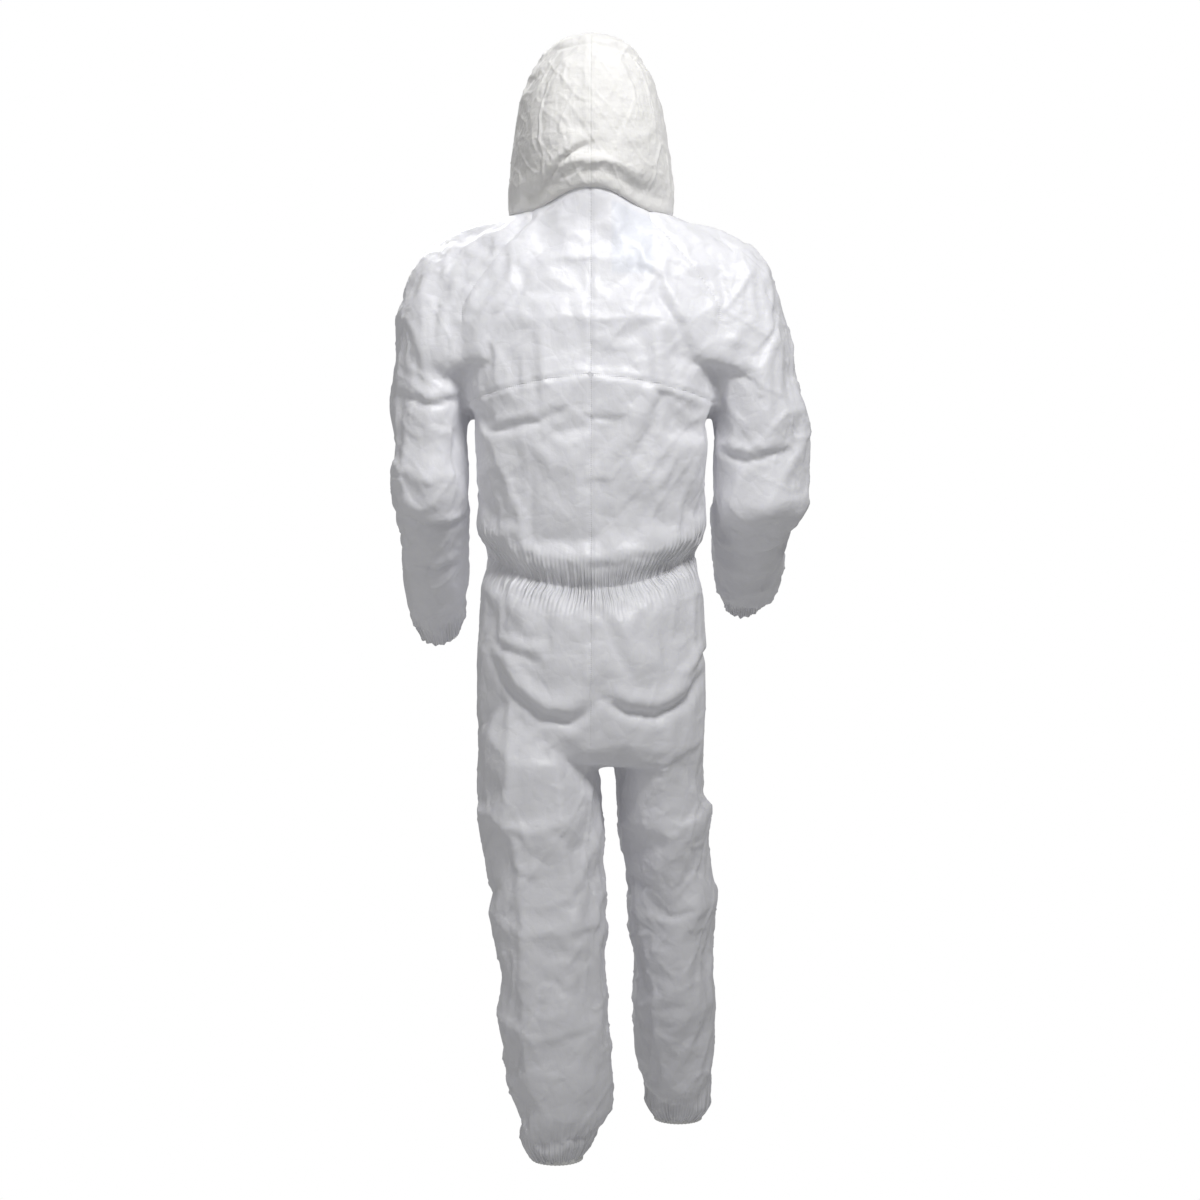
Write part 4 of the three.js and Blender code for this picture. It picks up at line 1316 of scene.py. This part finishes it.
LOOSE = 0.15  # how firmly the middle of a panel is held
TAG_SHOWS = 0.16  # how much of the tag's colour comes through the cloth


def body_pins(points):
    """How firmly each point is held: fully at hems, neck and zip, loosely elsewhere."""
    x, y, z = points.T
    pins = np.full(len(points), LOOSE)
    front = (y < FRONT * 0.6) & (abs(x) < 0.045)
    pins[front] = 1
    pins = np.maximum(pins, smooth_step(z, NAPE - 0.03, NAPE - 0.012))
    pins = np.maximum(pins, 1 - smooth_step(z, HEM + 0.014, HEM + 0.03))
    waist = (region(points) == "torso") & (abs(z - waist_line(x)) < 0.012)
    pins[waist] = 1
    for side in SIDES:
        reach = (points - (0, 0, ELBOW)) @ forearm_axis(side)
        sleeve = (SIDES[side] * x > ARMHOLE) & (z < ELBOW)
        end = smooth_step(reach, sleeve_length(side) - 0.03, sleeve_length(side) - 0.014)
        pins = np.maximum(pins, np.where(sleeve, end, 0))
    return pins


def sewn_relief(points):
    """Relief of the seams: a groove with the turned allowance raised beside it, and small puckers."""
    distance, run = seam_distance(points)
    relief = -0.0010 * bump(distance, 0, 0.0035) + 0.0008 * bump(distance, 0.0075, 0.004)
    pucker = noise3(np.stack([run, 0 * run, distance * 0.3], axis=1), 0.014, 17)
    return relief + 0.0011 * pucker * bump(distance, 0.006, 0.013)


def tag_tint(points):
    """Where the size tag shows through the upper back."""
    low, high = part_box("size_label")
    inside = points[:, 1] > 0
    for k in (0, 2):
        start = smooth_step(points[:, k], low[k] - 0.004, low[k] + 0.002)
        inside = inside * start * (1 - smooth_step(points[:, k], high[k] - 0.002, high[k] + 0.004))
    return TAG_SHOWS * inside


def attach_body_piece(name, piece):
    """Ties a parted piece of the cloth to its body or joint, and hides the solid that it stands for."""
    side = name.split("_")[0]
    if name.endswith("upper_sleeve"):
        start, direction = arm_start(side), arm_direction(side)
        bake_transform(piece, "torso", f"{side}_upper_arm", start, start + direction * SHOULDER_ZONE)
        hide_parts(f"{side}_upper_sleeve")
    elif name.endswith("forearm_sleeve"):
        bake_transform(piece, f"{side}_upper_arm", f"{side}_forearm",
                 (0, 0, ELBOW + ELBOW_ZONE), (0, 0, ELBOW - ELBOW_ZONE))
        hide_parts(f"{side}_forearm_sleeve")
    elif name.endswith("thigh"):
        direction = leg_direction(side)
        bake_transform(piece, "torso", f"{side}_upper_leg", LEG_START, LEG_START + direction * HIP_ZONE)
        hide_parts(f"{side}_thigh")
    elif name.endswith("shin"):
        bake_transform(piece, f"{side}_upper_leg", f"{side}_lower_leg",
                 (0, 0, KNEE + KNEE_ZONE), (0, 0, KNEE - KNEE_ZONE))
        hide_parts(f"{side}_shin")
    elif name == "gusset":
        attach(piece, "torso")
        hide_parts("crotch_gusset")
    else:
        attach(piece, "torso")
        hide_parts(f"{name}_panel")


class CoverallHood(bpy.types.Operator):
    """Sews the crumpled hood, parts it at the crown seam and lets it bend at the nape"""

    bl_idname = "coverall.hood"
    bl_label = "Hood"

    def execute(self, context):
        shape, colours = context.scene.coverall_shape, context.scene.coverall_colours
        cloth = hood_cloth(shape)
        material = hood_material(colours)
        halves = parted(cloth, lambda p: np.where(p[:, 0] > 0, "hood_left", "hood_right").astype(object))
        for name, piece in halves.items():
            piece.data.materials.append(material)
            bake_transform(piece, "torso", "hood", (0, 0, NAPE), (0, 0, NAPE + NAPE_ZONE))
            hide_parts(f"{name}_panel")
        return {"FINISHED"}


class CoverallTrims(bpy.types.Operator):
    """Adds the gathered elastics, the neck band and the size tag"""

    bl_idname = "coverall.trims"
    bl_label = "Elastics, neck band and tag"

    def execute(self, context):
        colours = context.scene.coverall_colours
        material = elastic_material(colours)
        bands = [(face_band(), "face_elastic", "hood"), (waist_band(), "waist_elastic", "torso")]
        for side in SIDES:
            axis = forearm_axis(side)
            bands.append((end_band(f"{side}_wrist_gather", f"{side}_wrist_elastic", axis),
                          f"{side}_wrist_elastic", f"{side}_forearm"))
            bands.append((end_band(f"{side}_ankle_gather", f"{side}_ankle_elastic", (0, 0, -1)),
                          f"{side}_ankle_elastic", f"{side}_lower_leg"))
        for band, node, body in bands:
            shaded(band, material)
            if node == "face_elastic":
                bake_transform(band, "torso", "hood", (0, 0, NAPE), (0, 0, NAPE + NAPE_ZONE))
            else:
                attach(band, body)
            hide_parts(node)
        neck = shaded(neck_facing(), laminate_material(colours))
        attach(neck, "torso")
        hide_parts("neck_band")
        tag = shaded(size_tag(), label_material(colours))
        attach(tag, "torso")
        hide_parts("size_label")
        return {"FINISHED"}


NAPE_ZONE = 0.1  # height of cloth above the nape that turns with the hood by degrees


def neck_facing():
    """A doubled strip inside the neck seam."""
    low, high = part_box("neck_band")
    rings = []
    levels = ((low.z + 0.0005, 0), (low.z + 0.008, 0.0012), (high.z - 0.0005, 0),
              (high.z - 0.0005, 0.002), (low.z + 0.008, 0.0032), (low.z + 0.0005, 0.002))
    for z, inset in levels:
        ring = level_ring(["neck_band"], min(max(z, low.z + 0.0003), high.z - 0.0003))
        shrink = 1 - (inset + 0.001) / np.hypot(ring[:, 0], ring[:, 1])
        ring = ring * np.stack([shrink, shrink, 1 + 0 * shrink], axis=1)
        ring[:, 2] = z
        rings.append(ring)
    rings.append(rings[0])
    points, faces = tube(rings)
    thing = new_mesh("neck_facing", points, faces)
    edit = bmesh.new()
    edit.from_mesh(thing.data)
    bmesh.ops.remove_doubles(edit, verts=edit.verts, dist=1e-6)
    edit.to_mesh(thing.data)
    edit.free()
    store(thing.data, "seam", np.full(len(thing.data.vertices), 0.05))
    return thing


def size_tag():
    """A blank satin rectangle that follows the inside of the back."""
    low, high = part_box("size_label")
    solid = mesh_arrays("size_label")[0]
    across, tall = 18, 26
    points = []
    for layer in (0, 1):
        for j in range(tall + 1):
            z = low.z + 0.0005 + (high.z - low.z - 0.001) * j / tall
            for i in range(across + 1):
                x = low.x + 0.0005 + (high.x - low.x - 0.001) * i / across
                gaps = (solid[:, 0] - x) ** 2 + (solid[:, 2] - z) ** 2 + 1e-6
                y = (solid[:, 1] / gaps).sum() / (1 / gaps).sum()
                points.append((x, y - 0.004 - (0.0006 if layer else 0), z))
    return new_mesh("size_tag", points, doubled_faces(across, tall))


FLAP_ZONE = 0.012  # width of flap that bends beside its sewn edge


class CoverallZip(bpy.types.Operator):
    """Builds the coiled zip with its tapes and stops, gives the slider and pull their nylon, and adds the
    storm flap over it
    """

    bl_idname = "coverall.zip"
    bl_label = "Zip and storm flap"

    def execute(self, context):
        colours = context.scene.coverall_colours
        tape, nylon = tape_material(colours), nylon_material(colours)
        for side in SIDES:
            woven = worn_box(f"zip_tape_{side}", 0.0004, f"tape_{side}")
            coil = zip_coil(side)
            top_stop = worn_box(f"zip_top_stop_{side}", 0.0005, f"top_stop_{side}")
            for piece, node, slot, material in (
                    (woven, f"zip_tape_{side}", "zip_tape", tape),
                    (coil, f"zip_teeth_{side}", "zip_chain", nylon),
                    (top_stop, f"zip_top_stop_{side}", "zip_chain", nylon)):
                shaded(piece, material)
                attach(piece, "torso")
                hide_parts(node)
        stop = shaded(worn_box("zip_bottom_stop", 0.0005, "bottom_stop"), nylon)
        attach(stop, "torso")
        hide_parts("zip_bottom_stop")
        for node in ("zip_slider", "zip_pull"):
            frame["nodes"][node].data.materials.clear()
            frame["nodes"][node].data.materials.append(nylon)
        flap = shaded(storm_flap_cloth(), laminate_material(colours))
        low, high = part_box("storm_flap")
        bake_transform(flap, "torso", "flap", (high.x, 0, 0), (high.x - FLAP_ZONE, 0, 0))
        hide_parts("storm_flap")
        strip = shaded(worn_box("flap_adhesive_strip", 0.0002, "release_strip"), release_material(colours))
        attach(strip, "flap")
        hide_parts("flap_adhesive_strip")
        return {"FINISHED"}


SKY_BELOW = 0.44  # light from straight below and from straight above
SKY_ABOVE = 0.08


class CoverallStage(bpy.types.Operator):
    """Sets the camera, the soft studio lights and the white surround"""

    bl_idname = "coverall.stage"
    bl_label = "Studio"

    def execute(self, context):
        scene = context.scene
        low, high = Vector(CAD_BOX[0]), Vector(CAD_BOX[1])
        middle = (low + high) / 2
        world = bpy.data.worlds.new("studio")
        world.use_nodes = True
        tree = world.node_tree
        ray = add_node(tree, "ShaderNodeNewGeometry").outputs["Incoming"]
        height = add_node(tree, "ShaderNodeSeparateXYZ", {"Vector": ray}).outputs["Z"]
        sky = ramp(tree, height, 1.0, -1.0, SKY_BELOW, SKY_ABOVE)
        # The camera sees plain white behind the suit, whatever light falls on the cloth.
        seen = add_node(tree, "ShaderNodeLightPath").outputs["Is Camera Ray"]
        background = tree.nodes["Background"]
        background.inputs["Color"].default_value = (1, 1, 1, 1)
        tree.links.new(maths(tree, "MAXIMUM", sky, seen), background.inputs["Strength"])
        scene.world = world
        # Each lamp has its name, place, aim, size in metres, watts and spread in degrees.
        lamps = [
            ("key", (-0.8, 1.9, 1.9), (0, 0, 0.0), 0.9, 9.6, 62),
            ("fill", (2.0, 2.0, 0.4), (0, 0, -0.3), 1.6, 9, 180),
            ("front", (1.0, -2.4, 1.9), (0, 0, -0.3), 1.4, 60, 180),
        ]
        for name, place, aim, size, power, spread in lamps:
            data = bpy.data.lights.new(name, "AREA")
            data.size = size
            data.spread = math.radians(spread)
            data.energy = power
            lamp = bpy.data.objects.new(name, data)
            lamp.location = place
            lamp.rotation_euler = (Vector(aim) - Vector(place)).to_track_quat("-Z", "Y").to_euler()
            scene.collection.objects.link(lamp)
        camera = bpy.data.cameras.new("camera")
        camera.lens = 59
        camera.clip_end = 30
        eye = bpy.data.objects.new("camera", camera)
        eye.location = (middle.x, 3.15, middle.z - 0.02)
        eye.rotation_euler = (math.radians(90), 0, math.radians(180))
        scene.collection.objects.link(eye)
        scene.camera = eye
        scene.view_settings.view_transform = "Standard"
        return {"FINISHED"}


class CoverallPanel(bpy.types.Panel):
    """Lists the pieces of the coverall and their settings"""

    bl_idname = "VIEW3D_PT_coverall"
    bl_label = "Protective coverall"
    bl_space_type = "VIEW_3D"
    bl_region_type = "UI"
    bl_category = "Coverall"

    def draw(self, context):
        layout = self.layout
        for settings in (context.scene.coverall_shape, context.scene.coverall_colours):
            box = layout.box()
            for name in type(settings).__annotations__:
                box.prop(settings, name)
        for operator in PIECE_OPERATORS:
            layout.operator(operator.bl_idname)


PIECE_OPERATORS = (CoverallStage, CoverallBody, CoverallHood, CoverallTrims, CoverallZip)
CLASSES = (CoverallShape, CoverallColours, *PIECE_OPERATORS, CoverallPanel)


def register():
    for cls in CLASSES:
        bpy.utils.register_class(cls)
    bpy.types.Scene.coverall_shape = bpy.props.PointerProperty(type=CoverallShape)
    bpy.types.Scene.coverall_colours = bpy.props.PointerProperty(type=CoverallColours)


def unregister():
    del bpy.types.Scene.coverall_colours
    del bpy.types.Scene.coverall_shape
    for cls in reversed(CLASSES):
        bpy.utils.unregister_class(cls)


def main():
    register()
    for operator in (bpy.ops.coverall.stage, bpy.ops.coverall.body, bpy.ops.coverall.hood,
                     bpy.ops.coverall.trims, bpy.ops.coverall.zip):
        operator()


if __name__ == "__main__":
    main()
